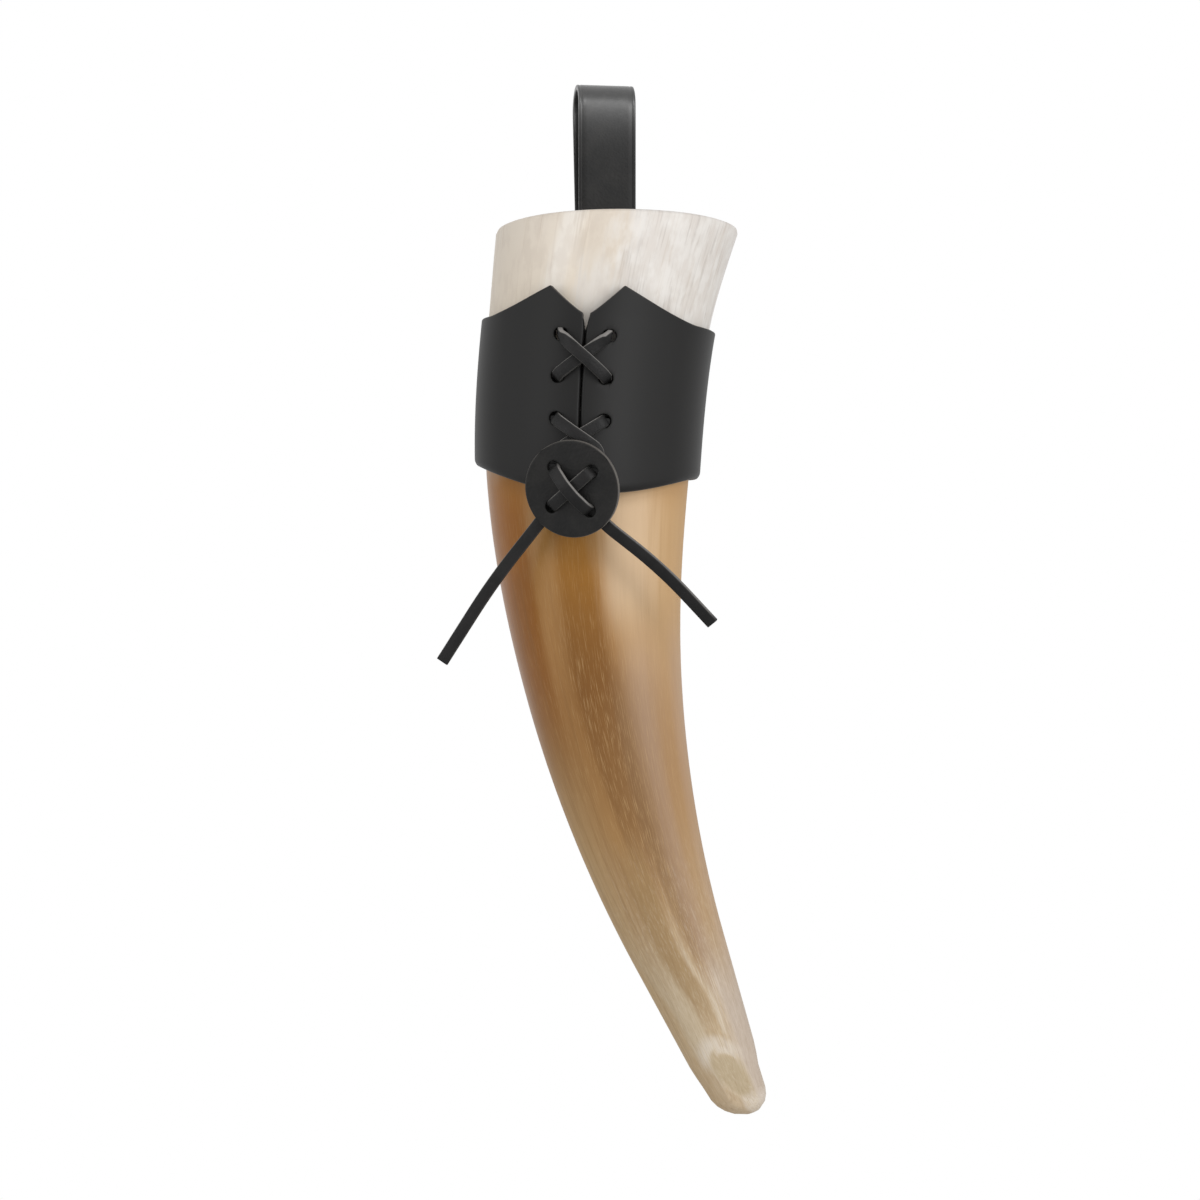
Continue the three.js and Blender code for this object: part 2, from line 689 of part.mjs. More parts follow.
// The button's own frame, on the front of the band over its lower edge
const BUTTON_STANDOFF = LACE_THICKNESS + 2 * CLEARANCE + BUTTON_EASE;
const BUTTON_TURN = (() => {
  const outward = bandOutward(BUTTON_SIDEWAYS, BUTTON_DOWN);
  const below = bandPoint(BUTTON_SIDEWAYS, BUTTON_DOWN + 1, 0);
  below.sub(bandPoint(BUTTON_SIDEWAYS, BUTTON_DOWN, 0));
  const right = new THREE.Vector3().crossVectors(outward, below).normalize();
  const up = new THREE.Vector3().crossVectors(outward, right);
  const basis = new THREE.Matrix4().makeBasis(right, up, outward);
  const own = new THREE.Euler(BUTTON_LEAN, BUTTON_YAW, -BUTTON_ROLL, "YXZ");
  const lying = new THREE.Quaternion().setFromRotationMatrix(basis);
  return lying.multiply(new THREE.Quaternion().setFromEuler(own));
})();
const BUTTON_CENTRE = bandPoint(BUTTON_SIDEWAYS, BUTTON_DOWN, BUTTON_STANDOFF + LEATHER);

// A point of the button by its place on the front face and its height above it.
function buttonPoint(right, up, height) {
  return new THREE.Vector3(right, up, height).applyQuaternion(BUTTON_TURN).add(BUTTON_CENTRE);
}

const BUTTON_HOLE_OUT = BUTTON_HOLE_PITCH / 2;
const BUTTON_SIDES = 40;
const BUTTON_EASED_EDGE = 0.4;

function buttonGeometry() {
  const radius = BUTTON_DIAMETER / 2;
  const profile = [
    [0, -LEATHER],
    [radius - BUTTON_EASED_EDGE, -LEATHER],
    [radius, BUTTON_EASED_EDGE - LEATHER],
    [radius, -BUTTON_EASED_EDGE],
    [radius - BUTTON_EASED_EDGE, 0],
    [0, 0],
  ];
  const disc = new THREE.LatheGeometry(profile.map(([r, y]) => new THREE.Vector2(r, y)), BUTTON_SIDES);
  disc.rotateX(Math.PI / 2);
  const cutters = [];
  for (const right of [-BUTTON_HOLE_OUT, BUTTON_HOLE_OUT]) {
    for (const up of [-BUTTON_HOLE_OUT, BUTTON_HOLE_OUT]) {
      const centre = new THREE.Vector3(right, up, -LEATHER / 2);
      cutters.push(drill(centre, new THREE.Vector3(0, 0, 1), LACE_HOLE, 3 * LEATHER, HOLE_SIDES));
    }
  }
  const pierced = cutAway(disc, cutters);
  return pierced.applyQuaternion(BUTTON_TURN).translate(...BUTTON_CENTRE.toArray());
}

// A thong of the X on the button, from an upper hole on one side to the lower hole on the other.
function laceCrossGeometry(side, lifted) {
  const from = [side * BUTTON_HOLE_OUT, BUTTON_HOLE_OUT];
  const to = [-side * BUTTON_HOLE_OUT, -BUTTON_HOLE_OUT];
  const holeEnd = (hole) => corner(new THREE.Vector3(...hole, HOLE_MIDDLE + CLEARANCE / 2));
  const corners = [holeEnd(from), ...crossingCorners(from, to, lifted), holeEnd(to)];
  const across = acrossOnFace(from, to);
  const legs = Array.from({ length: corners.length - 1 }, () => across);
  return laceGeometry(corners, legs, (point) => buttonPoint(point.x, point.y, point.z));
}

// A point in space, in the band's own coordinates.
function onBand(point) {
  const found = new THREE.Vector3(BUTTON_SIDEWAYS, BUTTON_DOWN, 0);
  for (let step = 0; step < SOLVE_STEPS; step++) {
    const here = bandPoint(found.x, found.y, found.z);
    const miss = point.clone().sub(here);
    const round = bandPoint(found.x + 1, found.y, found.z).sub(here);
    const down = bandPoint(found.x, found.y + 1, found.z).sub(here);
    const out = bandPoint(found.x, found.y, found.z + 1).sub(here);
    found.x += miss.dot(round) / round.lengthSq();
    found.y += miss.dot(down) / down.lengthSq();
    found.z += miss.dot(out) / out.lengthSq();
  }
  return found;
}

// A thong from a hole of the lowest row, across the front of the band and up behind the button.
function laceStrandGeometry(side, lifted) {
  const from = [side * LACE_HOLE_OUT, laceRow(2)];
  const slope = STRAND_CROSS_DROP / LACE_HOLE_OUT;
  const knee = [-side * STRAND_KNEE_OUT, laceRow(2) + STRAND_CROSS_DROP + STRAND_KNEE_OUT * slope];
  const hole = [-side * BUTTON_HOLE_OUT, BUTTON_HOLE_OUT];
  const crossing = new THREE.Vector3(0, laceRow(2) + STRAND_CROSS_DROP, lifted ? OVER_CROSSING : ON_FACE);
  const run = new THREE.Vector3(-side * LACE_HOLE_OUT, STRAND_CROSS_DROP, 0).normalize();
  const plateau = LACE_WIDTH / 2 + CROSSING_EASE;
  const corners = [
    corner(new THREE.Vector3(...from, HOLE_MIDDLE + CLEARANCE / 2)),
    corner(new THREE.Vector3(...from, ON_FACE), LACE_BEND, MAP_STEP),
    corner(crossing.clone().addScaledVector(run, -plateau), CROSSING_BEND, MAP_STEP),
    corner(crossing.clone().addScaledVector(run, plateau), CROSSING_BEND, MAP_STEP),
    corner(new THREE.Vector3(...knee, ON_FACE), STRAND_KNEE_BEND, MAP_STEP),
    corner(onBand(buttonPoint(...hole, BEHIND_FACE - STRAND_EASE)), LACE_BEND),
    corner(onBand(buttonPoint(...hole, HOLE_MIDDLE - CLEARANCE / 2))),
  ];
  const across = new THREE.Vector3(-run.y, run.x, 0);
  const end = corners[5].at.clone().sub(corners[4].at);
  const endAcross = new THREE.Vector3(-end.y, end.x, 0).normalize();
  const legs = [across, across, across, across, endAcross, endAcross];
  return laceGeometry(corners, legs, (point) => bandPoint(point.x, point.y, point.z));
}

// The free tails leave the lower holes behind the button and stand away to either side.
const TAIL_LEFT = [
  [-13.2, -15.6, 0],
  [-24.1, -32.4, 4.8],
  [-37.9, -59.3, 11.1],
];
const TAIL_RIGHT = [
  [13, -12, 0],
  [29.4, -23.5, -3.6],
  [45.8, -40.4, -9.2],
];
const TAIL_CURVE = 12;

function laceTailGeometry(side, route) {
  const hole = [side * BUTTON_HOLE_OUT, -BUTTON_HOLE_OUT];
  const start = new THREE.Vector3(...hole, HOLE_MIDDLE - CLEARANCE / 2);
  const turn = new THREE.Vector3(...hole, BEHIND_FACE);
  const points = route.map(([right, up, lift]) => new THREE.Vector3(right, up, BEHIND_FACE + lift));
  const corners = [
    corner(start),
    corner(turn),
    corner(points[0], LACE_BEND),
    corner(points[1], TAIL_CURVE),
    corner(points[2]),
  ];
  const legs = corners.slice(1).map((to, i) => {
    const along = (i === 0 ? points[0].clone().sub(turn) : to.at.clone().sub(corners[i].at)).normalize();
    return new THREE.Vector3(-along.y, along.x, 0).normalize();
  });
  return laceGeometry(corners, legs, (point) => buttonPoint(point.x, point.y, point.z));
}

// Finishes
const horn = () => new THREE.MeshStandardMaterial({ color: 0xb48a58, roughness: 0.38, metalness: 0 });
const leather = () => new THREE.MeshStandardMaterial({ color: 0x2b2b2c, roughness: 0.68, metalness: 0 });
const thong = () => new THREE.MeshStandardMaterial({ color: 0x323233, roughness: 0.6, metalness: 0 });
const rivetMetal = () => new THREE.MeshStandardMaterial({ color: 0x4a4a4c, roughness: 0.4, metalness: 1 });

const assembly = new THREE.Group();

function add(name, geometry, material) {
  const mesh = new THREE.Mesh(geometry, material);
  mesh.name = name;
  assembly.add(mesh);
  return mesh;
}

add("horn", hornGeometry(), horn());
add("holder_band", bandGeometry(), leather());
add("belt_loop", beltLoopGeometry(), leather());
for (const [i, place] of ["upper", "lower"].entries()) {
  const z = RIVET_HEIGHTS[i];
  const turn = new THREE.Quaternion().setFromUnitVectors(new THREE.Vector3(0, 1, 0), RIVET_AXIS);
  const post = add(`rivet_post_${place}`, rivetPostGeometry(), rivetMetal());
  post.quaternion.copy(turn);
  post.position.copy(rivetPoint(z, -LEATHER));
  const cap = add(`rivet_cap_${place}`, rivetCapGeometry(), rivetMetal());
  cap.quaternion.copy(turn);
  cap.position.copy(rivetPoint(z, STACK + CLEARANCE));
}
add("lace_upper", laceUpperGeometry(), thong());
add("lace_strand_left", laceStrandGeometry(-1, true), thong());
add("lace_strand_right", laceStrandGeometry(1, false), thong());
add("button_disc", buttonGeometry(), leather());
add("lace_cross_over", laceCrossGeometry(-1, true), thong());
add("lace_cross_under", laceCrossGeometry(1, false), thong());
add("lace_tail_left", laceTailGeometry(-1, TAIL_LEFT), thong());
add("lace_tail_right", laceTailGeometry(1, TAIL_RIGHT), thong());

const BELT_SEAT = strapPoint(FOLD_Z, FOLD_DEPTH, 0).setZ(LOOP_HEIGHT);
assembly.position.copy(BELT_SEAT).negate();

const model = new THREE.Group();
model.add(assembly);

export default model;
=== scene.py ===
# %% [markdown]
# # A drinking horn in a laced leather belt holder
# The real thing is a hollow cow horn that hangs in a black leather band. The band is laced at the front
# with one flat thong, a leather button slides on the thong, and a riveted strap takes the belt.
# The packed solids are loaded first. They could be shown as they are, but their edges are sharp and their
# colours plain, so a finer piece is laid over each solid, in the same frame and in metres.

# %% Load the frame
import json
import math

import bpy
import numpy as np
from mathutils import Matrix, Vector


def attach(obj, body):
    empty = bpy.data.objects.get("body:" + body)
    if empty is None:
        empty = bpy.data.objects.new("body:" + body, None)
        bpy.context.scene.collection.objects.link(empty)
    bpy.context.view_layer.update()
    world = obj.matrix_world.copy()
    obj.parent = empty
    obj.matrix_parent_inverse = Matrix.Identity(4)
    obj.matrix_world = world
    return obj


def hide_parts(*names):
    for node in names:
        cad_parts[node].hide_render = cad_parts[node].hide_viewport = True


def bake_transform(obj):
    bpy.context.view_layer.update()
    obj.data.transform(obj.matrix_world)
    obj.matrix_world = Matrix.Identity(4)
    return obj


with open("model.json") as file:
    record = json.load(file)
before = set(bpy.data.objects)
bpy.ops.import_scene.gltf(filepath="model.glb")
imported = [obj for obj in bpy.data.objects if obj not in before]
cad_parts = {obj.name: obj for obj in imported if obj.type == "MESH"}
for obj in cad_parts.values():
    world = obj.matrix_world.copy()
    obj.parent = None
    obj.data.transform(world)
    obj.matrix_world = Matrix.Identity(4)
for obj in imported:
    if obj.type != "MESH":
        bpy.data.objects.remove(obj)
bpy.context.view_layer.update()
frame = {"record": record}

# %% [markdown]
# ## The camera
# The photograph was taken level with the middle of the horn and a little under a metre away, so the edges
# of the mouth and the band curve only slightly. A view without perspective would make them straight.
# A long lens on a full-frame sensor, straight in front of the horn, shows them as the photograph does.

# %% Camera
CAMERA_PLACE, LEVEL = (-0.001388, -0.895864, -0.1787), (math.pi / 2, 0, 0)
LENS, SENSOR = 76.5, 36
bpy.ops.object.select_all(action="DESELECT")
bpy.ops.object.camera_add(location=CAMERA_PLACE, rotation=LEVEL)
camera = bpy.context.object
camera.name = "photo_camera"
camera.data.lens, camera.data.sensor_width = LENS, SENSOR
bpy.context.scene.camera = camera
print("camera at", tuple(round(value, 4) for value in camera.location))

# %% [markdown]
# ## The width of the horn
# A horn is a bent cone that swells towards its mouth. Its half width is known at six stations along it.
# Straight lines between them would leave edges on the skin, so a cubic curve is drawn in each span, and
# the slopes of two spans agree where they meet.

# %% Horn width
STATIONS = np.array([
    (0.0, 0.03935), (0.025, 0.037), (0.085, 0.03345), (0.150, 0.02635), (0.230, 0.01735), (0.293, 0.0103),
])
HORN_LENGTH, TIP_RADIUS = STATIONS[-1]


def part_way(value, start, end):
    """Share of the way from start to end, held between 0 and 1."""
    return np.clip((value - start) / (end - start), 0, 1)


def horn_radius(along):
    place, radius = STATIONS.T
    chord = np.diff(radius) / np.diff(place)
    inner = (radius[2:] - radius[:-2]) / (place[2:] - place[:-2])
    slope = np.concatenate([chord[:1], inner, chord[-1:]])
    along = np.asarray(along, dtype=float)
    i = np.clip(np.searchsorted(place, along, side="right") - 1, 0, len(place) - 2)
    span, rise = place[i + 1] - place[i], radius[i + 1] - radius[i]
    t = part_way(along, place[i], place[i + 1])
    entry, leave = slope[i] * span, slope[i + 1] * span
    square, cubic = 3 * rise - 2 * entry - leave, entry + leave - 2 * rise
    return radius[i] + t * (entry + t * (square + t * cubic)) + np.minimum(along, 0) * slope[0]


print("half width at mouth, middle and tip:", horn_radius([0, HORN_LENGTH / 2, HORN_LENGTH]).round(4))

# %% [markdown]
# ## Places on the horn
# The middle line of the horn is an arc that runs out straight near the tip. A curve with a bevel would show
# it, but nothing could then be placed on its skin. So a point is a distance along the arc, an angle round it
# and an offset outwards. Angle 0 is the front, and a quarter turn is the inner side of the bend.
# The functions take whole arrays of numbers, so thousands of points are placed in one call.

# %% Horn coordinates
ARC_RADIUS, STRAIGHT_FROM, OVAL_DEPTH = 0.405, 0.242, 0.95
MOUTH_LEAN, MOUTH_TILT = math.radians(12.1), math.radians(3.4)
ARC_CENTRE = np.array(frame["record"]["behaviour"]["joints"][0]["pos_m"])
MOUTH_Z = ARC_CENTRE[2] + ARC_RADIUS * math.sin(MOUTH_LEAN)
SOLVE_STEPS = 20


def stacked(*columns):
    """Columns of numbers set side by side, one row for each point."""
    return np.stack(np.broadcast_arrays(*columns), axis=-1)


def lean(along):
    return along / ARC_RADIUS - MOUTH_LEAN


def arc_point(along, inward, depth):
    bent = np.minimum(along, STRAIGHT_FROM)
    straight = along - bent
    angle = lean(bent)
    reach = ARC_RADIUS - inward
    x = ARC_CENTRE[0] - reach * np.cos(angle) + straight * np.sin(angle)
    z = ARC_CENTRE[2] - reach * np.sin(angle) - straight * np.cos(angle)
    return stacked(x, ARC_CENTRE[1] + depth, z)


def horn_point(along, angle, offset, radius=None):
    if radius is None:
        radius = horn_radius(along)
    inward = (radius + offset) * np.sin(angle)
    depth = -(radius * OVAL_DEPTH + offset) * np.cos(angle)
    return arc_point(along, inward, depth)


def mouth_along(angle, offset):
    """How far along the horn its sawn mouth lies at an angle, found step by step."""
    along = np.zeros_like(angle)
    for _ in range(SOLVE_STEPS):
        point = horn_point(along, angle, offset)
        along = along + point[..., 2] - MOUTH_Z + (point[..., 1] - ARC_CENTRE[1]) * math.tan(MOUTH_TILT)
    return along


print("mouth at", horn_point(0.0, 0.0, 0.0).round(4), "tip at", arc_point(HORN_LENGTH, 0.0, 0.0).round(4))

# %% [markdown]
# ## The leather's own coordinates
# The band is a flat strip before it is wrapped, with two uneven peaks beside its slit. It could be modelled
# round at once, but holes and edges are easier to draw flat. Its coordinates are a distance round from the
# slit, a distance down the horn and a height above the leather. The thong on the band is drawn in the same
# coordinates and wrapped by the same function, so it stays on the leather.

# %% Band coordinates
LEATHER = 0.0019
BAND_TOP, BAND_BOTTOM, BAND_TILT = 0.032, 0.081, math.radians(3.3)
BAND_FIT, BAND_SLACK = 0.0004, 0.0014
FRONT_ROOM, FRONT_ROOM_REACH = 0.003, 0.030
SLIT_TURN, SLIT_LEAN, SLIT_GAP = math.radians(-5), math.radians(1.2), 0.0013
PEAK_OUT, PEAK_RISE = 0.0114, 0.0086
PEAKS_ASIDE, RIGHT_PEAK_RISE = 0.0010, 0.0009
SEEN_NOTCH, NOTCH_CURVE = 0.0087, 1.15
SHOULDER_OUT, SHOULDER_CURVE = 0.042, 1.6
FRONT_DROP, FRONT_DROP_REACH = 0.0083, 0.062
BAND_RADIUS = float(horn_radius(BAND_TOP)) + BAND_FIT + LEATHER
BAND_HALF_GIRTH = math.pi * BAND_RADIUS


def band_room(around, down):
    slack = part_way(down, BAND_TOP, BAND_BOTTOM) * BAND_SLACK
    share = np.minimum(np.abs(around) / FRONT_ROOM_REACH, 1)
    return BAND_FIT + slack + FRONT_ROOM * np.cos(share * math.pi / 2) ** 2


def band_point(around, down, height):
    sideways = around + (down - BAND_TOP) * math.tan(SLIT_LEAN)
    angle = SLIT_TURN + sideways / BAND_RADIUS
    level = np.sin(lean(down)) + math.tan(BAND_TILT)
    along = down + BAND_RADIUS * np.sin(angle) * level
    return horn_point(along, angle, band_room(around, down) + LEATHER + height)


def band_top_edge(around):
    out, to_right = np.abs(around), around > 0
    peak_out = np.where(to_right, PEAK_OUT - PEAKS_ASIDE, PEAK_OUT + PEAKS_ASIDE)
    rise = PEAK_RISE + RIGHT_PEAK_RISE * to_right
    bottom = SEEN_NOTCH - PEAK_RISE
    climb, fall = part_way(out, SLIT_GAP / 2, peak_out), part_way(out, peak_out, SHOULDER_OUT)
    notch = BAND_TOP + bottom - (bottom + rise) * climb**NOTCH_CURVE
    shoulder = BAND_TOP - rise * (1 - fall) ** SHOULDER_CURVE
    return np.where(out < peak_out, notch, shoulder)


def band_bottom_edge(around):
    share = np.minimum(np.abs(around) / FRONT_DROP_REACH, 1)
    return BAND_BOTTOM + FRONT_DROP * (0.5 + 0.5 * np.cos(share * math.pi))


print("band girth", round(2 * BAND_HALF_GIRTH, 4), "slit top at", band_point(0.0, BAND_TOP, 0.0).round(4))

# %% [markdown]
# ## The button's own frame
# The button lies on the front of the band and leans a little, because the thong behind it lifts it.
# A tilted disc is hard to draw in place. A frame of right, up and outward at its middle lets the disc,
# the thongs on it and the two free tails be drawn flat and set in place together.

# %% Button frame
MILLIMETRE, CLEARANCE = 0.001, 0.0003
LACE_WIDTH, LACE_THICKNESS = 0.004, 0.0018
BUTTON_SIDEWAYS, BUTTON_DOWN, BUTTON_EASE = -0.0021, 0.0885, 0.0007
BUTTON_YAW, BUTTON_LEAN, BUTTON_ROLL = math.radians(-10), math.radians(5.5), math.radians(7.5)
BUTTON_STANDOFF = LACE_THICKNESS + 2 * CLEARANCE + BUTTON_EASE


def band_outward(around, down):
    across = band_point(around + MILLIMETRE, down, 0.0) - band_point(around - MILLIMETRE, down, 0.0)
    below = band_point(around, down + MILLIMETRE, 0.0) - band_point(around, down - MILLIMETRE, 0.0)
    return Vector(np.cross(below, across)).normalized()


def button_frame():
    outward = band_outward(BUTTON_SIDEWAYS, BUTTON_DOWN)
    here = band_point(BUTTON_SIDEWAYS, BUTTON_DOWN, 0.0)
    below = Vector(band_point(BUTTON_SIDEWAYS, BUTTON_DOWN + MILLIMETRE, 0.0) - here)
    right = outward.cross(below).normalized()
    lying = Matrix((right, outward.cross(right), outward)).transposed()
    yaw = Matrix.Rotation(BUTTON_YAW, 3, "Y")
    tip = Matrix.Rotation(BUTTON_LEAN, 3, "X")
    roll = Matrix.Rotation(-BUTTON_ROLL, 3, "Z")
    centre = band_point(BUTTON_SIDEWAYS, BUTTON_DOWN, BUTTON_STANDOFF + LEATHER)
    return centre, np.array(lying @ yaw @ tip @ roll)


BUTTON_CENTRE, BUTTON_TURN = button_frame()


def button_point(right, up, height):
    return stacked(right, up, height) @ BUTTON_TURN.T + BUTTON_CENTRE


print("button centre", BUTTON_CENTRE.round(4), "outward", BUTTON_TURN[:, 2].round(3))

# %% [markdown]
# ## Picking pieces and parts
# By hand, a piece is clicked, some of its edges or faces are picked and an operator is run from a menu.
# Code could change the mesh data alone, but the same operators keep each step one that can be tried by hand.
# An operator works on whatever is selected, so a piece is always picked on its own first, and its edges
# and faces are picked by where they are.

# %% Picking helpers
def pick_alone(piece=None):
    if bpy.context.mode != "OBJECT":
        bpy.ops.object.mode_set(mode="OBJECT")
    bpy.ops.object.select_all(action="DESELECT")
    if piece:
        piece.select_set(True)
        bpy.context.view_layer.objects.active = piece


def name_new(name):
    piece = bpy.context.object
    piece.name = piece.data.name = name
    return piece


def new_piece(name, add, **settings):
    pick_alone()
    add(**settings)
    return name_new(name)


def new_grid(name, columns, rows, size=1):
    add = bpy.ops.mesh.primitive_grid_add
    return new_piece(name, add, x_subdivisions=columns, y_subdivisions=rows, size=size)


def discard(piece):
    pick_alone(piece)
    bpy.ops.object.delete()


def pick_parts(piece, kind, wanted):
    """Leave edit mode open with only the wanted edges or faces selected."""
    pick_alone(piece)
    bpy.ops.object.mode_set(mode="EDIT")
    bpy.ops.mesh.select_mode(type=kind)
    bpy.ops.mesh.select_all(action="DESELECT")
    bpy.ops.object.mode_set(mode="OBJECT")
    for part in piece.data.edges if kind == "EDGE" else piece.data.polygons:
        part.select = bool(wanted(part))
    bpy.ops.object.mode_set(mode="EDIT")


def runs_along(piece, axis, reach):
    """A test for edges whose ends lie further than reach apart along an axis."""
    def test(edge):
        first, last = (piece.data.vertices[i].co[axis] for i in edge.vertices)
        return abs(first - last) > reach
    return test


print("picking helpers ready in mode", bpy.context.mode)

# %% [markdown]
# ## Finishing and laying pieces
# Leather is cut flat and then bent, so a leather piece is modelled flat too. Its flat coordinates are kept
# as an attribute, which the grain of the leather uses later, and `lay` moves each vertex to its place on
# the object. Bending with modifiers could not follow the oval, leaning horn as exactly.

# %% Laying helpers
WELD = 1e-6


def add_modifier(piece, kind, **settings):
    pick_alone(piece)
    modifier = piece.modifiers.new(kind.lower(), kind)
    for key, value in settings.items():
        setattr(modifier, key, value)
    bpy.ops.object.modifier_apply(modifier=modifier.name)


def points_of(piece):
    pick_alone(piece)
    flat = np.empty(len(piece.data.vertices) * 3)
    piece.data.vertices.foreach_get("co", flat)
    return flat.reshape(-1, 3)


def keep_attribute(piece, name, values, kind="FLOAT", domain="POINT"):
    attribute = piece.data.attributes.new(name, kind, domain)
    key = "vector" if kind == "FLOAT_VECTOR" else "value"
    attribute.data.foreach_set(key, np.asarray(values, dtype=np.float32).ravel())


def lay(piece, place):
    points = points_of(piece)
    piece.data.vertices.foreach_set("co", np.asarray(place(points)).ravel())
    piece.data.update()


def clean(piece):
    """Merge doubled vertices and turn all faces outwards."""
    pick_alone(piece)
    bpy.ops.object.mode_set(mode="EDIT")
    bpy.ops.mesh.select_all(action="SELECT")
    bpy.ops.mesh.remove_doubles(threshold=WELD)
    bpy.ops.mesh.normals_make_consistent(inside=False)
    bpy.ops.object.mode_set(mode="OBJECT")


def smooth(piece, degrees=40):
    pick_alone(piece)
    bpy.ops.object.shade_smooth_by_angle(angle=math.radians(degrees))


print("laying helpers ready, doubles merge below", WELD)

# %% [markdown]
# ## The route of a thong
# A lace runs over the leather, turns through a hole and runs on behind it. A Bezier curve could be drawn
# along it, but how tight it bends would hang on its handles. So the corners of the route are listed, and each
# is rounded off over a known reach, because stiff leather bends alike everywhere.

# %% Rounded route
LACE_BEND = 0.002
CURVE_STEPS, ROUTE_STEP = 12, 0.0005


def unit(vector):
    return vector / np.linalg.norm(vector, axis=-1, keepdims=True)


def corner(at, bend=LACE_BEND, twist=0.0):
    return np.array(at, dtype=float), bend, twist


def rounded_route(corners):
    """Samples of place, leg and share of the leg along corners that are rounded off."""
    samples = []
    for i in range(len(corners) - 1):
        (start, start_bend, _), (end, end_bend, _) = corners[i], corners[i + 1]
        length = np.linalg.norm(end - start)
        ahead = unit(end - start)
        first = 0 if i == 0 else start_bend
        last = length if i + 2 == len(corners) else length - end_bend
        steps = max(1, round((last - first) / ROUTE_STEP))
        for reach in np.linspace(first, last, steps + 1):
            samples.append((start + ahead * reach, i, reach / length))
        if i + 2 < len(corners):
            after = unit(corners[i + 2][0] - end)
            entry, leave = end - ahead * end_bend, end + after * end_bend
            for t in np.linspace(0, 1, CURVE_STEPS + 1)[1:-1]:
                at = (1 - t) ** 2 * entry + 2 * t * (1 - t) * end + t * t * leave
                samples.append((at, i + 1 if t > 0.5 else i, 0.0 if t > 0.5 else 1.0))
    return samples


print("a thong bends over", LACE_BEND, "m at each corner")

# %% [markdown]
# ## How a thong lies
# A flat lace lies flat on the leather and twists only in the holes. A curve's bevel can't be told which way
# its flat side faces, so each leg of the route has a direction across the strip. In a hole the direction is
# left open, and the strip turns there from the leg before to the leg after.

# %% Path of a thong
RING_STEP, PROBE = 0.0007, 0.00001
TWIST_FADE = 1.5


def leg_directions(across_of_legs):
    """Directions across at both ends of each leg. They never flip, and an open leg joins its neighbours."""
    known, last = [], None
    for across in across_of_legs:
        if across is not None:
            last = across = -across if last is not None and across @ last < 0 else across
        known.append(across)
    return [(known[i - 1], known[i + 1]) if across is None else (across, across)
            for i, across in enumerate(known)]


def travel(points):
    """Distance travelled along a line at each of its points."""
    return np.concatenate([[0], np.cumsum(np.linalg.norm(np.diff(points, axis=0), axis=1))])


def thong_path(corners, across_of_legs, place):
    """Centre, across and up of a thong at even steps along its route, with its length."""
    pairs = leg_directions(across_of_legs)
    samples = rounded_route(corners)
    at = np.array([sample[0] for sample in samples])
    across = np.array([pairs[leg][0] * (1 - share) + pairs[leg][1] * share for _, leg, share in samples])
    twist = np.array([
        corners[leg][2] * (1 - share) ** TWIST_FADE + corners[leg + 1][2] * share**TWIST_FADE
        for _, leg, share in samples
    ])
    centre = place(*at.T)
    wide = place(*(at + across * PROBE).T) - centre
    travelled = travel(centre)
    length = travelled[-1]
    even = np.linspace(0, length, max(2, round(length / RING_STEP)) + 1)
    centre, wide, twist = (
        stacked(*(np.interp(even, travelled, column) for column in values.T))
        for values in (centre, wide, twist[:, None]))
    ahead = unit(np.gradient(centre, axis=0))
    wide = unit(wide - (wide * ahead).sum(axis=1, keepdims=True) * ahead)
    up = np.cross(ahead, wide)
    turned_wide = wide * np.cos(twist) + up * np.sin(twist)
    turned_up = up * np.cos(twist) - wide * np.sin(twist)
    return centre, turned_wide, turned_up, length


print("a thong gets a ring every", RING_STEP, "m")

# %% [markdown]
# ## A thong
# The lace is a strip of black leather with rounded, pale cut edges. As painted light from above, an edge is
# paler where it faces up and less pale where it faces down, and near both ends the pale edge fades out as
# painted shade in the holes. A swept curve would be quicker, but it would lose the flat side and the edges.
# So a cube is stretched to the length, its long edges are bevelled, it is cut across many times, and each
# ring is moved to its place on the route.

# %% Thong
LACE_ROUND = LACE_THICKNESS * 0.3
EDGE_FROM, EDGE_FULL = 0.43, 0.48
SIDE_LIGHT_SHARE, LEAST_LIGHT_SHARE = 0.5, 0.2


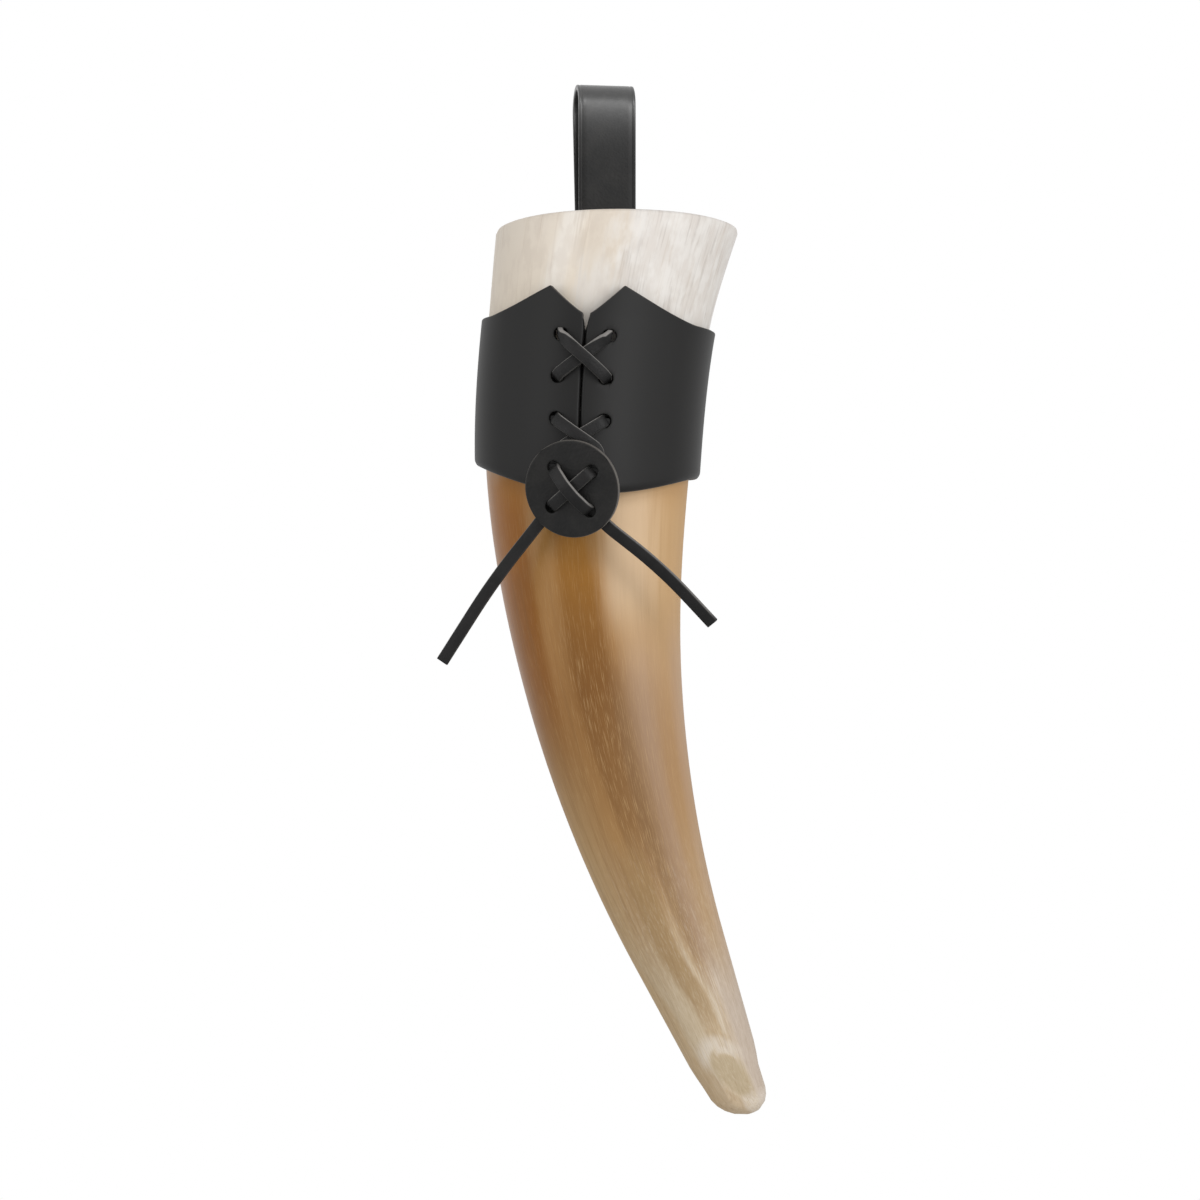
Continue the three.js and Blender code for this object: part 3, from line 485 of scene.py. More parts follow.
def make_thong(name, corners, across_of_legs, place, edge_share=1.0):
    centre, wide, up, length = thong_path(corners, across_of_legs, place)
    rings = len(centre) - 1
    thong = new_piece(name, bpy.ops.mesh.primitive_cube_add, size=1)
    bpy.ops.object.mode_set(mode="EDIT")
    bpy.ops.transform.resize(value=(LACE_WIDTH, length, LACE_THICKNESS), center_override=(0, 0, 0))
    is_long = runs_along(thong, axis=1, reach=length / 2)
    pick_parts(thong, "EDGE", is_long)
    bpy.ops.mesh.bevel(offset=LACE_ROUND, segments=3, affect="EDGES")
    pick_parts(thong, "EDGE", is_long)
    bpy.ops.mesh.subdivide(number_cuts=rings - 1)
    flat = points_of(thong)
    keep_attribute(thong, "flat", flat, "FLOAT_VECTOR")
    ring = np.clip(np.rint((flat[:, 1] / length + 0.5) * rings).astype(int), 0, rings)
    # Painted shade: the pale edge fades out towards both ends, which mostly sit in holes.
    clear_of_end_shade = np.clip((length / 2 - np.abs(flat[:, 1])) / LACE_WIDTH, 0, 1)
    on_edge = part_way(np.abs(flat[:, 0]) / LACE_WIDTH, EDGE_FROM, EDGE_FULL)
    # Painted light: the pale edge is stronger where it faces up and weaker where it faces down.
    painted_top_light = np.clip(SIDE_LIGHT_SHARE + np.sign(flat[:, 0]) * wide[ring, 2], LEAST_LIGHT_SHARE, 1)
    keep_attribute(thong, "cut_edge", on_edge * clear_of_end_shade * edge_share * painted_top_light)
    lay(thong, lambda points: centre[ring] + wide[ring] * points[:, :1] + up[ring] * points[:, 2:])
    clean(thong)
    smooth(thong, degrees=50)
    print(name, "length", round(length, 4), "rings", rings, "faces", len(thong.data.polygons))
    return thong, centre, length


print("a thong is", LACE_WIDTH, "m wide, its edges rounded over", round(LACE_ROUND, 5), "m")

# %% [markdown]
# ## The two free tails
# The thong ends in two tails that leave the lower holes of the button and stand away from it. Tails of soft
# cord would be hung by a simulation, but this leather is stiff and holds its bend, so their routes are read
# from the photograph, which shows them from end to end. Each is a free cord.

# %% Tails
ON_FACE = CLEARANCE + LACE_THICKNESS / 2
BEHIND_FACE = -LEATHER - ON_FACE
HOLE_MIDDLE = -LEATHER / 2
TAIL_CURVE, TAIL_EDGE_SHARE = 0.012, 0.6
BUTTON_HOLE_OUT, LACE_PULL = 0.0064, 0.0004
PULLED_IN = BUTTON_HOLE_OUT - LACE_PULL
TAIL_ROUTES = {
    "left": (-1, 0.0005, [(-0.0132, -0.0156, 0), (-0.0241, -0.0324, 0.0048), (-0.0379, -0.0593, 0.0111)]),
    "right": (1, 0.0009, [(0.013, -0.012, 0), (0.0294, -0.0235, -0.0036), (0.0458, -0.0404, -0.0092)]),
}


def flat_across(start, end):
    right, up = unit(np.array(end)[:2] - np.array(start)[:2])
    return np.array([-up, right, 0])


tails = {}
for where, (side, aside, route) in TAIL_ROUTES.items():
    hole = (side * PULLED_IN - aside, -PULLED_IN)
    turn = (*hole, BEHIND_FACE)
    bends = [(right, up, BEHIND_FACE + lift) for right, up, lift in route]
    corners = [
        corner((*hole, HOLE_MIDDLE - CLEARANCE / 2)), corner(turn),
        corner(bends[0]), corner(bends[1], TAIL_CURVE), corner(bends[2]),
    ]
    first = flat_across(turn, bends[0])
    legs = [first, first, flat_across(bends[0], bends[1]), flat_across(bends[1], bends[2])]
    tail, line, length = make_thong(f"tail_{where}", corners, legs, button_point, TAIL_EDGE_SHARE)
    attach(tail, "button")
    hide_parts(f"lace_tail_{where}")
    tails[where] = tail
print("tails:", ", ".join(tails))

# %% [markdown]
# ## The skin of the horn
# The real horn was sawn off at the mouth and its edge rounded. A faint ridge runs along its last third.
# It could be a solid that is hollowed out, but one closed skin keeps the wall even. Its rows of vertices
# run from the tip up the outside, over the rounded lip and down the inside of the cup.

# %% Horn skin
RIM_WALL, CAVITY_DEPTH, CAVITY_FULLNESS = 0.0028, 0.205, 4
LIP, TIP_ROUND = RIM_WALL / 2, 0.0093
TIP_ROWS, OUTER_ROWS, LIP_ROWS, INNER_ROWS = 12, 150, 8, 60
ROW_STARTS = np.cumsum([0, TIP_ROWS, OUTER_ROWS, LIP_ROWS, INNER_ROWS])
RIDGE_START, RIDGE_FULL, RIDGE_FADE, RIDGE_END = 0.222, 0.242, 0.264, 0.276
RIDGE_HEIGHT, RIDGE_SPREAD = 0.0004, 0.24
RIDGE_TURN, RIDGE_SHIFT = 0.08, 0.25
SHIFT_FROM, SHIFT_TO = 0.238, 0.268


def eased(value, start, end):
    """The share of the way from start to end, smooth at both ends."""
    t = part_way(value, start, end)
    return t * t * (3 - 2 * t)


def ridge(along, angle):
    """Height of the ridge, which shifts to the inner side of the bend on its way to the tip."""
    turn = RIDGE_TURN + RIDGE_SHIFT * eased(along, SHIFT_FROM, SHIFT_TO)
    ends = part_way(along, RIDGE_START, RIDGE_FULL) * part_way(along, RIDGE_END, RIDGE_FADE)
    return RIDGE_HEIGHT * np.exp(-np.abs(angle - turn) / RIDGE_SPREAD) * ends


def horn_skin(row, angle):
    """Place along the horn, offset and radius of each vertex of the skin."""
    tip_share, outer_share, lip_share, inner_share = (
        part_way(row, first, last) for first, last in zip(ROW_STARTS, ROW_STARTS[1:]))
    tip_turn = (1 - tip_share) * math.pi / 2
    tip = HORN_LENGTH + TIP_ROUND * np.sin(tip_turn)
    top = mouth_along(angle, 0.0) + LIP
    outer = HORN_LENGTH + outer_share * (top - HORN_LENGTH)
    lip_turn = lip_share * math.pi
    inset = -LIP * (1 - np.cos(lip_turn))
    lip = mouth_along(angle, inset) + LIP * (1 - np.sin(lip_turn))
    inner_top = mouth_along(angle, -RIM_WALL) + LIP
    inner = inner_top + np.sin(inner_share * math.pi / 2) * (CAVITY_DEPTH - inner_top)
    hollow = np.sqrt(np.clip(1 - (np.maximum(inner, 0) / CAVITY_DEPTH) ** CAVITY_FULLNESS, 0, 1))
    part = [row < ROW_STARTS[1], row <= ROW_STARTS[2], row <= ROW_STARTS[3]]
    along = np.select(part, [tip, outer, lip], inner)
    offset = np.select(part, [0, ridge(outer, angle), inset], 0)
    cup = (horn_radius(inner) - RIM_WALL) * hollow
    radius = np.select(part, [TIP_RADIUS * np.cos(tip_turn), horn_radius(outer), horn_radius(lip)], cup)
    return along, offset, radius


print("rows of the skin start at", ROW_STARTS.tolist())

# %% [markdown]
# ## The horn
# On the object the horn is one bent, tapering tube whose tip curls and narrows a little. A spun profile
# could not bend. So an open cylinder is cut into many rings, and each vertex is laid at its row and angle.
# Its place in the grain and whether it lies in the cup are kept for the finish.

# %% Horn
HORN_SIDES = 144
TIP_CURL, TIP_CURL_FROM = 20.0, 0.2905
TIP_NARROW, NARROW_FROM, NARROW_TO = 0.085, 0.281, 0.293
HOLLOW_FROM, HOLLOW_ROWS = ROW_STARTS[2] + LIP_ROWS * 0.6, 4
last_row = ROW_STARTS[-1]
horn = new_piece("horn_shell", bpy.ops.mesh.primitive_cylinder_add, vertices=HORN_SIDES, radius=1, depth=1,
                 end_fill_type="NOTHING")
pick_parts(horn, "EDGE", runs_along(horn, axis=2, reach=0.5))
bpy.ops.mesh.subdivide(number_cuts=int(last_row) - 1)
straight = points_of(horn)
horn_row = np.rint((straight[:, 2] + 0.5) * last_row)
horn_angle = np.arctan2(straight[:, 0], -straight[:, 1])
horn_along, horn_offset, horn_ring = horn_skin(horn_row, horn_angle)
spread = np.clip(horn_ring / horn_radius(np.minimum(horn_along, HORN_LENGTH)), 0, 1)
grain = stacked(np.cos(horn_angle) * spread, np.sin(horn_angle) * spread, horn_along)
keep_attribute(horn, "grain", grain, "FLOAT_VECTOR")
keep_attribute(horn, "hollow", part_way(horn_row, HOLLOW_FROM, HOLLOW_FROM + HOLLOW_ROWS))
tip_curl = TIP_CURL * np.maximum(horn_along - TIP_CURL_FROM, 0) ** 2
horn_ring *= 1 - TIP_NARROW * eased(horn_along, NARROW_FROM, NARROW_TO)
horn_place = horn_point(horn_along, horn_angle, horn_offset, horn_ring) + np.outer(tip_curl, [1, 0, 0])
lay(horn, lambda points: horn_place)
clean(horn)
print("horn rings", last_row, "faces", len(horn.data.polygons))

# %% [markdown]
# ## The flat at the tip
# The tip was ground flat on one side, as on a grinding wheel. A boolean with a block would do it, but one
# bisect of the faces near the tip cuts and fills in a single step. The new face gets an inner ring, so that
# its edge stays crisp under smooth shading.

# %% Flat at the tip
TIP_FLAT_CUT, TIP_FLAT_ALONG = 0.0011, 0.287
TIP_FLAT_TURN, TIP_FLAT_SLANT = math.radians(4), math.radians(11)
TIP_PART, FLAT_INSET = 0.03, 0.85
flat_spot = horn_point(TIP_FLAT_ALONG, TIP_FLAT_TURN, 0.0)
flat_out = horn_point(TIP_FLAT_ALONG, TIP_FLAT_TURN, MILLIMETRE) - flat_spot
heading = arc_point(TIP_FLAT_ALONG + MILLIMETRE, 0.0, 0.0) - arc_point(TIP_FLAT_ALONG, 0.0, 0.0)
flat_normal = Vector(flat_out + heading * math.tan(TIP_FLAT_SLANT)).normalized()
flat_place = Vector(horn_point(TIP_FLAT_ALONG, TIP_FLAT_TURN, -TIP_FLAT_CUT))
tip_start = Vector(arc_point(HORN_LENGTH - TIP_PART, 0.0, 0.0))
down_horn = Vector(heading).normalized()
pick_parts(horn, "FACE", lambda face: (face.center - tip_start).dot(down_horn) > 0)
bpy.ops.mesh.bisect(plane_co=flat_place, plane_no=flat_normal, use_fill=True, clear_outer=True)
bpy.ops.object.mode_set(mode="OBJECT")
flat_face = max(horn.data.polygons, key=lambda face: face.area)
flat_index, flat_centre = flat_face.index, flat_face.center.copy()
pick_parts(horn, "FACE", lambda face: face.index == flat_index)
bpy.ops.mesh.extrude_region()
bpy.ops.transform.resize(value=(FLAT_INSET, FLAT_INSET, FLAT_INSET), center_override=flat_centre)
smooth(horn, degrees=60)
print("flat at the tip cut, faces", len(horn.data.polygons))

# %% [markdown]
# ## Leather sheets
# The band, the strap and the button are cut from the same leather. A sheet starts as a flat grid that is
# laid to its outline. A boolean would leave long thin faces at the holes, which crease when the sheet is
# bent. So holes are punched by deleting faces and pulling the ragged edge into a circle. Solidify then gives
# the thickness, and a small bevel eases the cut edges.

# %% Leather helpers
EASED_EDGE, CREASE = 0.0004, math.radians(50)
LACE_HOLE = math.hypot(LACE_WIDTH, LACE_THICKNESS) + 2 * CLEARANCE
SEEN_HOLE, TIGHT_HOLE = LACE_HOLE * 0.88, LACE_HOLE * 0.81
RAGGED, HOLE_REACH = 0.75, LACE_HOLE * 0.6
CUT_SLOPE = 1.6


def punch(sheet, centre, diameter):
    pick_parts(sheet, "FACE", lambda face: (face.center - centre).length < diameter / 2)
    bpy.ops.mesh.delete(type="FACE")
    bpy.ops.object.mode_set(mode="OBJECT")
    rims = {}
    for polygon in sheet.data.polygons:
        if (polygon.center - centre).length < diameter:
            for key in polygon.edge_keys:
                rims[key] = rims.get(key, 0) + 1
    rim = {vertex for key, count in rims.items() if count == 1 for vertex in key}
    for vertex in sheet.data.vertices:
        out = vertex.co - centre
        if vertex.index in rim and out.length < diameter * RAGGED:
            vertex.co = centre + out.normalized() * (diameter / 2)


def in_hole(place, holes):
    return any((place.xy - hole.xy).length < HOLE_REACH for hole in holes)


def thicken(sheet, dyed_or_shaded):
    """Give a flat sheet its thickness below its face, ease its edges and mark its pale, undyed cuts, except
    those left dark as painted shade.
    """
    add_modifier(sheet, "SOLIDIFY", thickness=LEATHER, offset=-1, use_rim=True)
    add_modifier(sheet, "BEVEL", width=EASED_EDGE, segments=2, limit_method="ANGLE", angle_limit=CREASE,
                 use_clamp_overlap=False)
    keep_attribute(sheet, "flat", points_of(sheet), "FLOAT_VECTOR")
    cut = [min(1, CUT_SLOPE * (1 - abs(face.normal.z))) * (not dyed_or_shaded(face.center))
           for face in sheet.data.polygons]
    keep_attribute(sheet, "cut_edge", cut, domain="FACE")


print("holes in the band", round(SEEN_HOLE, 5), "and in the button", round(TIGHT_HOLE, 5))

# %% [markdown]
# ## The pattern of the band
# The band is one strip. Its top rises to two peaks beside the slit, and its lower edge drops at the front.
# The outline could be cut from a plain grid, but that leaves steps. Here the grid is stretched between its
# edges, and its columns meet the peaks exactly, so that their points stay sharp. The slit flares at its top.

# %% Band pattern
NOTCH_CELLS, SIDE_CELLS, BAND_ROWS = 12, 118, 62
SLIT_OPEN, SLIT_FLARE, SLIT_FLARE_DROP = 0.0010, 0.0006, 0.003
columns = 2 * (NOTCH_CELLS + SIDE_CELLS)
left_peak, left_slit = (2 * BAND_HALF_GIRTH - out for out in (PEAK_OUT + PEAKS_ASIDE, SLIT_GAP / 2))
girth_stops = [SLIT_GAP / 2, PEAK_OUT - PEAKS_ASIDE, left_peak, left_slit]
grid_stops = np.array([0, NOTCH_CELLS, columns - NOTCH_CELLS, columns]) / columns


def wrapped(reach):
    """Distance round from the slit, to either side, of a distance that runs once round the back."""
    return np.where(reach <= BAND_HALF_GIRTH, reach, reach - 2 * BAND_HALF_GIRTH)


def near_slit(around):
    return np.clip(1 - np.abs(around) / PEAK_OUT, 0, 1) ** 2


def band_pattern(points):
    reach = np.interp(points[:, 0] + 0.5, grid_stops, girth_stops)
    around = wrapped(reach)
    top, bottom = band_top_edge(around), band_bottom_edge(around)
    down = top + (0.5 - points[:, 1]) * (bottom - top)
    below_notch = np.maximum(down - BAND_TOP + PEAK_RISE - SEEN_NOTCH, 0)
    open_half = SLIT_OPEN / 2 + SLIT_FLARE * np.exp(-below_notch / SLIT_FLARE_DROP)
    shift = np.sign(around) * (open_half - SLIT_GAP / 2) * near_slit(around)
    return stacked(reach + shift, -down, 0.0)


print("peaks at", [round(stop, 4) for stop in girth_stops[1:3]], "of", round(2 * BAND_HALF_GIRTH, 4))

# %% [markdown]
# ## The holder band
# The finished band hugs the horn, its lower edge is rolled in, and its slit shows as a clean dark line.
# A shrinkwrap modifier would pull the slit out of shape, so the pattern is wrapped by its coordinates. The
# walls of the slit lean until they meet inside, which keeps the horn from shining through, and the cut faces
# of the slit and of the lace holes keep the dark face colour as painted shade.

# %% Band
NOTCH_DEPTH, LACE_ROW_DROP, LACE_ROW_PITCH = 0.0106, 0.005, 0.0135
LACE_HOLE_OUT, LACE_ROWS = 0.0075, 3
SLIT_UNDERCUT = 0.00070
ROLLED_EDGE, ROLLED_DEPTH = 0.0022, 0.0010


def lace_row(row):
    return BAND_TOP - PEAK_RISE + NOTCH_DEPTH + LACE_ROW_DROP + row * LACE_ROW_PITCH


SLIT_TOP = lace_row(0) - LACE_ROW_DROP
band = new_grid("band_leather", columns, BAND_ROWS)
lay(band, band_pattern)
hole_reaches = LACE_HOLE_OUT, 2 * BAND_HALF_GIRTH - LACE_HOLE_OUT
band_holes = [Vector((reach, -lace_row(row), 0)) for reach in hole_reaches for row in range(LACE_ROWS)]
for hole in band_holes:
    punch(band, hole, SEEN_HOLE)


# Painted shade: the cut faces of the slit below its top and of the lace holes keep the dark face colour
# instead of the pale edge colour.
def in_slit_or_hole(place):
    beside_slit = min(place.x, 2 * BAND_HALF_GIRTH - place.x) < SLIT_GAP
    return beside_slit and -place.y > SLIT_TOP or in_hole(place, band_holes)


def round_horn(points):
    """The flat pattern wrapped round the horn, with the slit undercut and the lower edge rolled in."""
    around, down = wrapped(points[:, 0]), -points[:, 1]
    below = part_way(down, SLIT_TOP, SLIT_TOP + SLIT_FLARE_DROP)
    undercut = SLIT_UNDERCUT * np.clip(-points[:, 2] / LEATHER, 0, 1) * near_slit(around) * below
    rolled = np.clip(1 - (band_bottom_edge(around) - down) / ROLLED_EDGE, 0, 1) ** 2
    height = points[:, 2] - ROLLED_DEPTH * rolled * (1 + points[:, 2] / LEATHER)
    return band_point(around - np.sign(around) * undercut, down, height)


thicken(band, in_slit_or_hole)
lay(band, round_horn)
smooth(band)
print("band holes", len(band_holes), "faces", len(band.data.polygons))

# %% [markdown]
# ## The path of the belt loop
# The strap runs up behind the mouth, turns over in a round fold and comes down behind itself, and both legs
# are riveted to the back of the band. It could be drawn by eye, but it has to touch the band and clear the
# horn's mouth. So the depth of the band's back is worked out at each height, and the strap stands on it.

# %% Strap path
LOOP_WIDTH, LOOP_SIDEWAYS, LOOP_END_INSET = 0.020, -0.00225, 0.005
LOOP_TURN = math.radians(8.5)
RIM_PROBES = 9
MOUTH_CENTRE = arc_point(0.0, 0.0, 0.0)
RIM_BACK_Z = horn_point(mouth_along(np.array(math.pi), 0.0), math.pi, 0.0)[2] - MOUTH_Z
LOOP_TOP_Z = arc_point(BAND_TOP, 0.0, 0.0)[2] - MOUTH_Z
LOOP_BOTTOM_Z = arc_point(BAND_BOTTOM - LOOP_END_INSET, 0.0, 0.0)[2] - MOUTH_Z


def back_depth(x, z, offset_at):
    """Depth of the back of the horn, or of a skin over it, above a point of the upright plane."""
    centre_x, centre_z = ARC_RADIUS * math.cos(MOUTH_LEAN), -ARC_RADIUS * math.sin(MOUTH_LEAN)
    reach = np.hypot(centre_x - x, centre_z - z)
    along = (np.arctan2(centre_z - z, centre_x - x) + MOUTH_LEAN) * ARC_RADIUS
    radius, offset = horn_radius(along), offset_at(along)
    share = (ARC_RADIUS - reach) / (radius + offset)
    return (radius * OVAL_DEPTH + offset) * np.sqrt(1 - share * share)


def band_back_offset(along):
    return band_room(BAND_HALF_GIRTH, along) + LEATHER


rivet_middle = (LOOP_TOP_Z + LOOP_BOTTOM_Z) / 2
RIVET_TURN = math.atan((
    back_depth(LOOP_SIDEWAYS + MILLIMETRE, rivet_middle, band_back_offset)
    - back_depth(LOOP_SIDEWAYS - MILLIMETRE, rivet_middle, band_back_offset)) / (2 * MILLIMETRE))
across_rim = np.linspace(-1, 1, RIM_PROBES) * LOOP_WIDTH / 2
rim_depth = back_depth(LOOP_SIDEWAYS + across_rim * math.cos(LOOP_TURN), RIM_BACK_Z, lambda along: 0.0)
LOOP_FRONT_DEPTH = float(np.max(rim_depth + CLEARANCE - across_rim * math.sin(LOOP_TURN)))


def strap_point(z, behind, across):
    share = eased(z, LOOP_TOP_Z, RIM_BACK_Z)
    turn = RIVET_TURN + share * (LOOP_TURN - RIVET_TURN)
    low = back_depth(LOOP_SIDEWAYS, np.minimum(z, LOOP_TOP_Z), band_back_offset) + CLEARANCE
    depth = low + share * (LOOP_FRONT_DEPTH - low)
    x = LOOP_SIDEWAYS - behind * np.sin(turn) + across * np.cos(turn)
    y = depth + behind * np.cos(turn) + across * np.sin(turn)
    return stacked(x, y, z) + np.array([MOUTH_CENTRE[0], ARC_CENTRE[1], MOUTH_Z])


print("strap ends at", round(float(LOOP_BOTTOM_Z), 4), "below the mouth, turned", round(RIVET_TURN, 3))

# %% [markdown]
# ## The fold of the strap
# Seen from the side, the strap goes straight up, round the fold and down again on a slant until it lies on
# its own front leg. A curve object could hold that line, but the inner and the outer face differ in length
# at the fold. So both faces are listed at stations, and the strip is laid along them by its length.

# %% Strap stations
LOOP_HEIGHT, FOLD_RADIUS = 0.056, 0.0065
STATION_STEP, FOLD_STEPS = 0.0008, 32
REAR_JOIN, FOLD_DEPTH, FOLD_Z = LEATHER + CLEARANCE, LEATHER + FOLD_RADIUS, LOOP_HEIGHT - FOLD_RADIUS
fold_drop, fold_out = FOLD_Z - LOOP_TOP_Z, REAR_JOIN - FOLD_DEPTH
REAR_SLANT = math.asin(FOLD_RADIUS / math.hypot(fold_drop, fold_out)) - math.atan2(fold_out, fold_drop)


def strap_stations():
    """Inner and outer height and depth of the strap at stations along it."""
    heights = np.linspace(LOOP_BOTTOM_Z, FOLD_Z, round((FOLD_Z - LOOP_BOTTOM_Z) / STATION_STEP))
    front = stacked(heights, LEATHER, heights, 0.0)
    turn = np.linspace(0, math.pi + REAR_SLANT, FOLD_STEPS)
    outer = FOLD_RADIUS + LEATHER
    fold = stacked(
        FOLD_Z + FOLD_RADIUS * np.sin(turn), FOLD_DEPTH - FOLD_RADIUS * np.cos(turn),
        FOLD_Z + outer * np.sin(turn), FOLD_DEPTH - outer * np.cos(turn),
    )
    end_z, end_behind = fold[-1, 0], fold[-1, 1]
    down = np.linspace(end_z, LOOP_BOTTOM_Z, round((end_z - LOOP_BOTTOM_Z) / STATION_STEP))
    inner = np.maximum(end_behind - (end_z - down) * math.tan(REAR_SLANT), REAR_JOIN)
    rear = stacked(down, inner, down, inner + LEATHER)
    return np.concatenate([front, fold[1:], rear[1:]])


stations = strap_stations()
middle = (stations[:, :2] + stations[:, 2:]) / 2
strap_travel = travel(middle)
STRAP_LENGTH = strap_travel[-1]
print("strap length", round(float(STRAP_LENGTH), 4), "rear slant", round(REAR_SLANT, 3))

# %% [markdown]
# ## The belt loop
# The strap has a line pressed along each edge, and wax shines where it bends over the belt. The lines could
# be bump in the finish, but real grooves also show in the exported mesh, so two columns of the grid are
# pressed in. How far a point is from the fold is kept as an attribute for the wax.

# %% Strap
STRAP_COLUMNS, STRAP_ROWS = 18, 260
PRESSED_LINE, PRESSED_WIDTH, PRESSED_DEPTH = 0.0012, 0.0006, 0.00016
ON_LINE, WAX_FADE = PRESSED_WIDTH / 8, 0.0052
line_at = LOOP_WIDTH / 2 - PRESSED_LINE
beside_line = np.array([LOOP_WIDTH / 2, line_at + PRESSED_WIDTH / 2, line_at])
inner_stops = STRAP_COLUMNS + 1 - 2 * len(beside_line)
between_lines = np.linspace(PRESSED_WIDTH / 2 - line_at, line_at - PRESSED_WIDTH / 2, inner_stops)
column_at = np.concatenate([-beside_line, between_lines, beside_line[::-1]])


def strap_pattern(points):
    across = np.interp(points[:, 0], np.linspace(-0.5, 0.5, STRAP_COLUMNS + 1), column_at)
    return stacked(across, points[:, 1] * STRAP_LENGTH, points[:, 2])


def press_lines(points):
    pressed = (np.abs(np.abs(points[:, 0]) - line_at) < ON_LINE) & (points[:, 2] > -LEATHER / 2)
    return points - np.outer(pressed * PRESSED_DEPTH, [0, 0, 1])


def along_strap(points):
    reach = points[:, 1] + STRAP_LENGTH / 2
    inner_z, inner_b, outer_z, outer_b = (np.interp(reach, strap_travel, column) for column in stations.T)
    share = points[:, 2] / LEATHER + 1
    z = inner_z + share * (outer_z - inner_z)
    return strap_point(z, inner_b + share * (outer_b - inner_b), -points[:, 0])


strap = new_grid("belt_strap", STRAP_COLUMNS, STRAP_ROWS)
lay(strap, strap_pattern)
thicken(strap, lambda place: True)
lay(strap, press_lines)
fold_reach = np.interp(FOLD_Z, stations[:len(stations) // 2, 0], strap_travel[:len(stations) // 2])
fold_length = (FOLD_RADIUS + LEATHER / 2) * math.pi
past_fold = points_of(strap)[:, 1] + STRAP_LENGTH / 2 - fold_reach
off_fold = np.clip(np.maximum(-past_fold, past_fold - fold_length), 0, None)
keep_attribute(strap, "waxed", np.exp(-off_fold / WAX_FADE))
lay(strap, along_strap)
clean(strap)
smooth(strap)
print("strap faces", len(strap.data.polygons), "fold starts at", round(float(fold_reach), 4))

# %% [markdown]
# ## A rivet's cap
# Each rivet has a domed cap behind the strap. A whole sphere would sink into the leather, so half a squashed
# sphere is kept. Its rim is pulled down into a short edge, and its closed base is inset and pushed up into
# the socket that takes the post. It is modelled upright once and copied later.

# %% Rivet cap
RIVET_POST, RIVET_HEAD = 0.0032, 0.009
RIVET_DOME, RIVET_EDGE, RIVET_SOCKET = 0.0019, 0.0007, 0.0009
RIVET_SIDES = 48
cap = new_piece("rivet_cap", bpy.ops.mesh.primitive_uv_sphere_add, segments=RIVET_SIDES,
                ring_count=RIVET_SIDES // 2, radius=1)
bpy.ops.object.mode_set(mode="EDIT")
bpy.ops.mesh.select_all(action="SELECT")
bpy.ops.mesh.bisect(plane_co=(0, 0, 0), plane_no=(0, 0, 1), clear_inner=True)
bpy.ops.mesh.select_all(action="SELECT")
bpy.ops.transform.resize(value=(RIVET_HEAD / 2, RIVET_HEAD / 2, RIVET_DOME - RIVET_EDGE),
                         center_override=(0, 0, 0))
pick_parts(cap, "EDGE", lambda edge: all(abs(cap.data.vertices[i].co.z) < WELD for i in edge.vertices))
bpy.ops.mesh.extrude_region_move(TRANSFORM_OT_translate={"value": (0, 0, -RIVET_EDGE)})
bpy.ops.mesh.edge_face_add()
bpy.ops.mesh.inset(thickness=RIVET_HEAD / 2 - RIVET_POST / 2 - CLEARANCE)
bpy.ops.transform.translate(value=(0, 0, RIVET_SOCKET))
bpy.ops.mesh.select_all(action="SELECT")
bpy.ops.transform.translate(value=(0, 0, RIVET_EDGE))
clean(cap)
print("rivet cap faces", len(cap.data.polygons))

# %% [markdown]
# ## A rivet's post
# The post has a flat head inside the band and a pin through all the leather. Two cylinders could be joined,
# but then faces would be hidden inside. So the top of one disc is inset and pulled up into the pin.

# %% Rivet post
RIVET_FLANGE, STACK = 0.0009, 2 * (LEATHER + CLEARANCE)
POST_END = LEATHER + STACK + RIVET_SOCKET
POST_EASE, FACING_UP = 0.00015, 0.9
post = new_piece("rivet_post", bpy.ops.mesh.primitive_cylinder_add, vertices=RIVET_SIDES,
                 radius=RIVET_HEAD / 2, depth=RIVET_FLANGE)
pick_parts(post, "FACE", lambda face: face.normal.z > FACING_UP)
bpy.ops.mesh.inset(thickness=RIVET_HEAD / 2 - RIVET_POST / 2)
bpy.ops.mesh.extrude_region_move(TRANSFORM_OT_translate={"value": (0, 0, POST_END - RIVET_FLANGE)})
bpy.ops.mesh.select_all(action="SELECT")
bpy.ops.transform.translate(value=(0, 0, RIVET_FLANGE / 2))
add_modifier(post, "BEVEL", width=POST_EASE, segments=2, limit_method="ANGLE", angle_limit=CREASE)
clean(post)
print("rivet post faces", len(post.data.polygons))

# %% [markdown]
# ## The rivets in place
# Two rivets, one above the other, clamp both legs of the strap to the band. Linked copies with a rotation
# would do for looks, but a piece of the frame keeps its place in its mesh. So the vertices of each copy are
# turned onto the rivet's axis and moved to its seat, and the two upright models are deleted.

# %% Rivets in place
RIVET_INSET = 0.010
RIVET_HEIGHTS = {"upper": LOOP_TOP_Z - RIVET_INSET, "lower": LOOP_BOTTOM_Z + RIVET_INSET}
RIVET_AXIS = Vector((-math.sin(RIVET_TURN), math.cos(RIVET_TURN), 0))
RIVET_STAND = np.array(Vector((0, 0, 1)).rotation_difference(RIVET_AXIS).to_matrix())


def rivet_seat(z, depth=0.0):
    """Where a rivet's axis meets the outer face of the band, or a place further along that axis."""
    return strap_point(z, -CLEARANCE, 0.0) + np.array(RIVET_AXIS) * depth


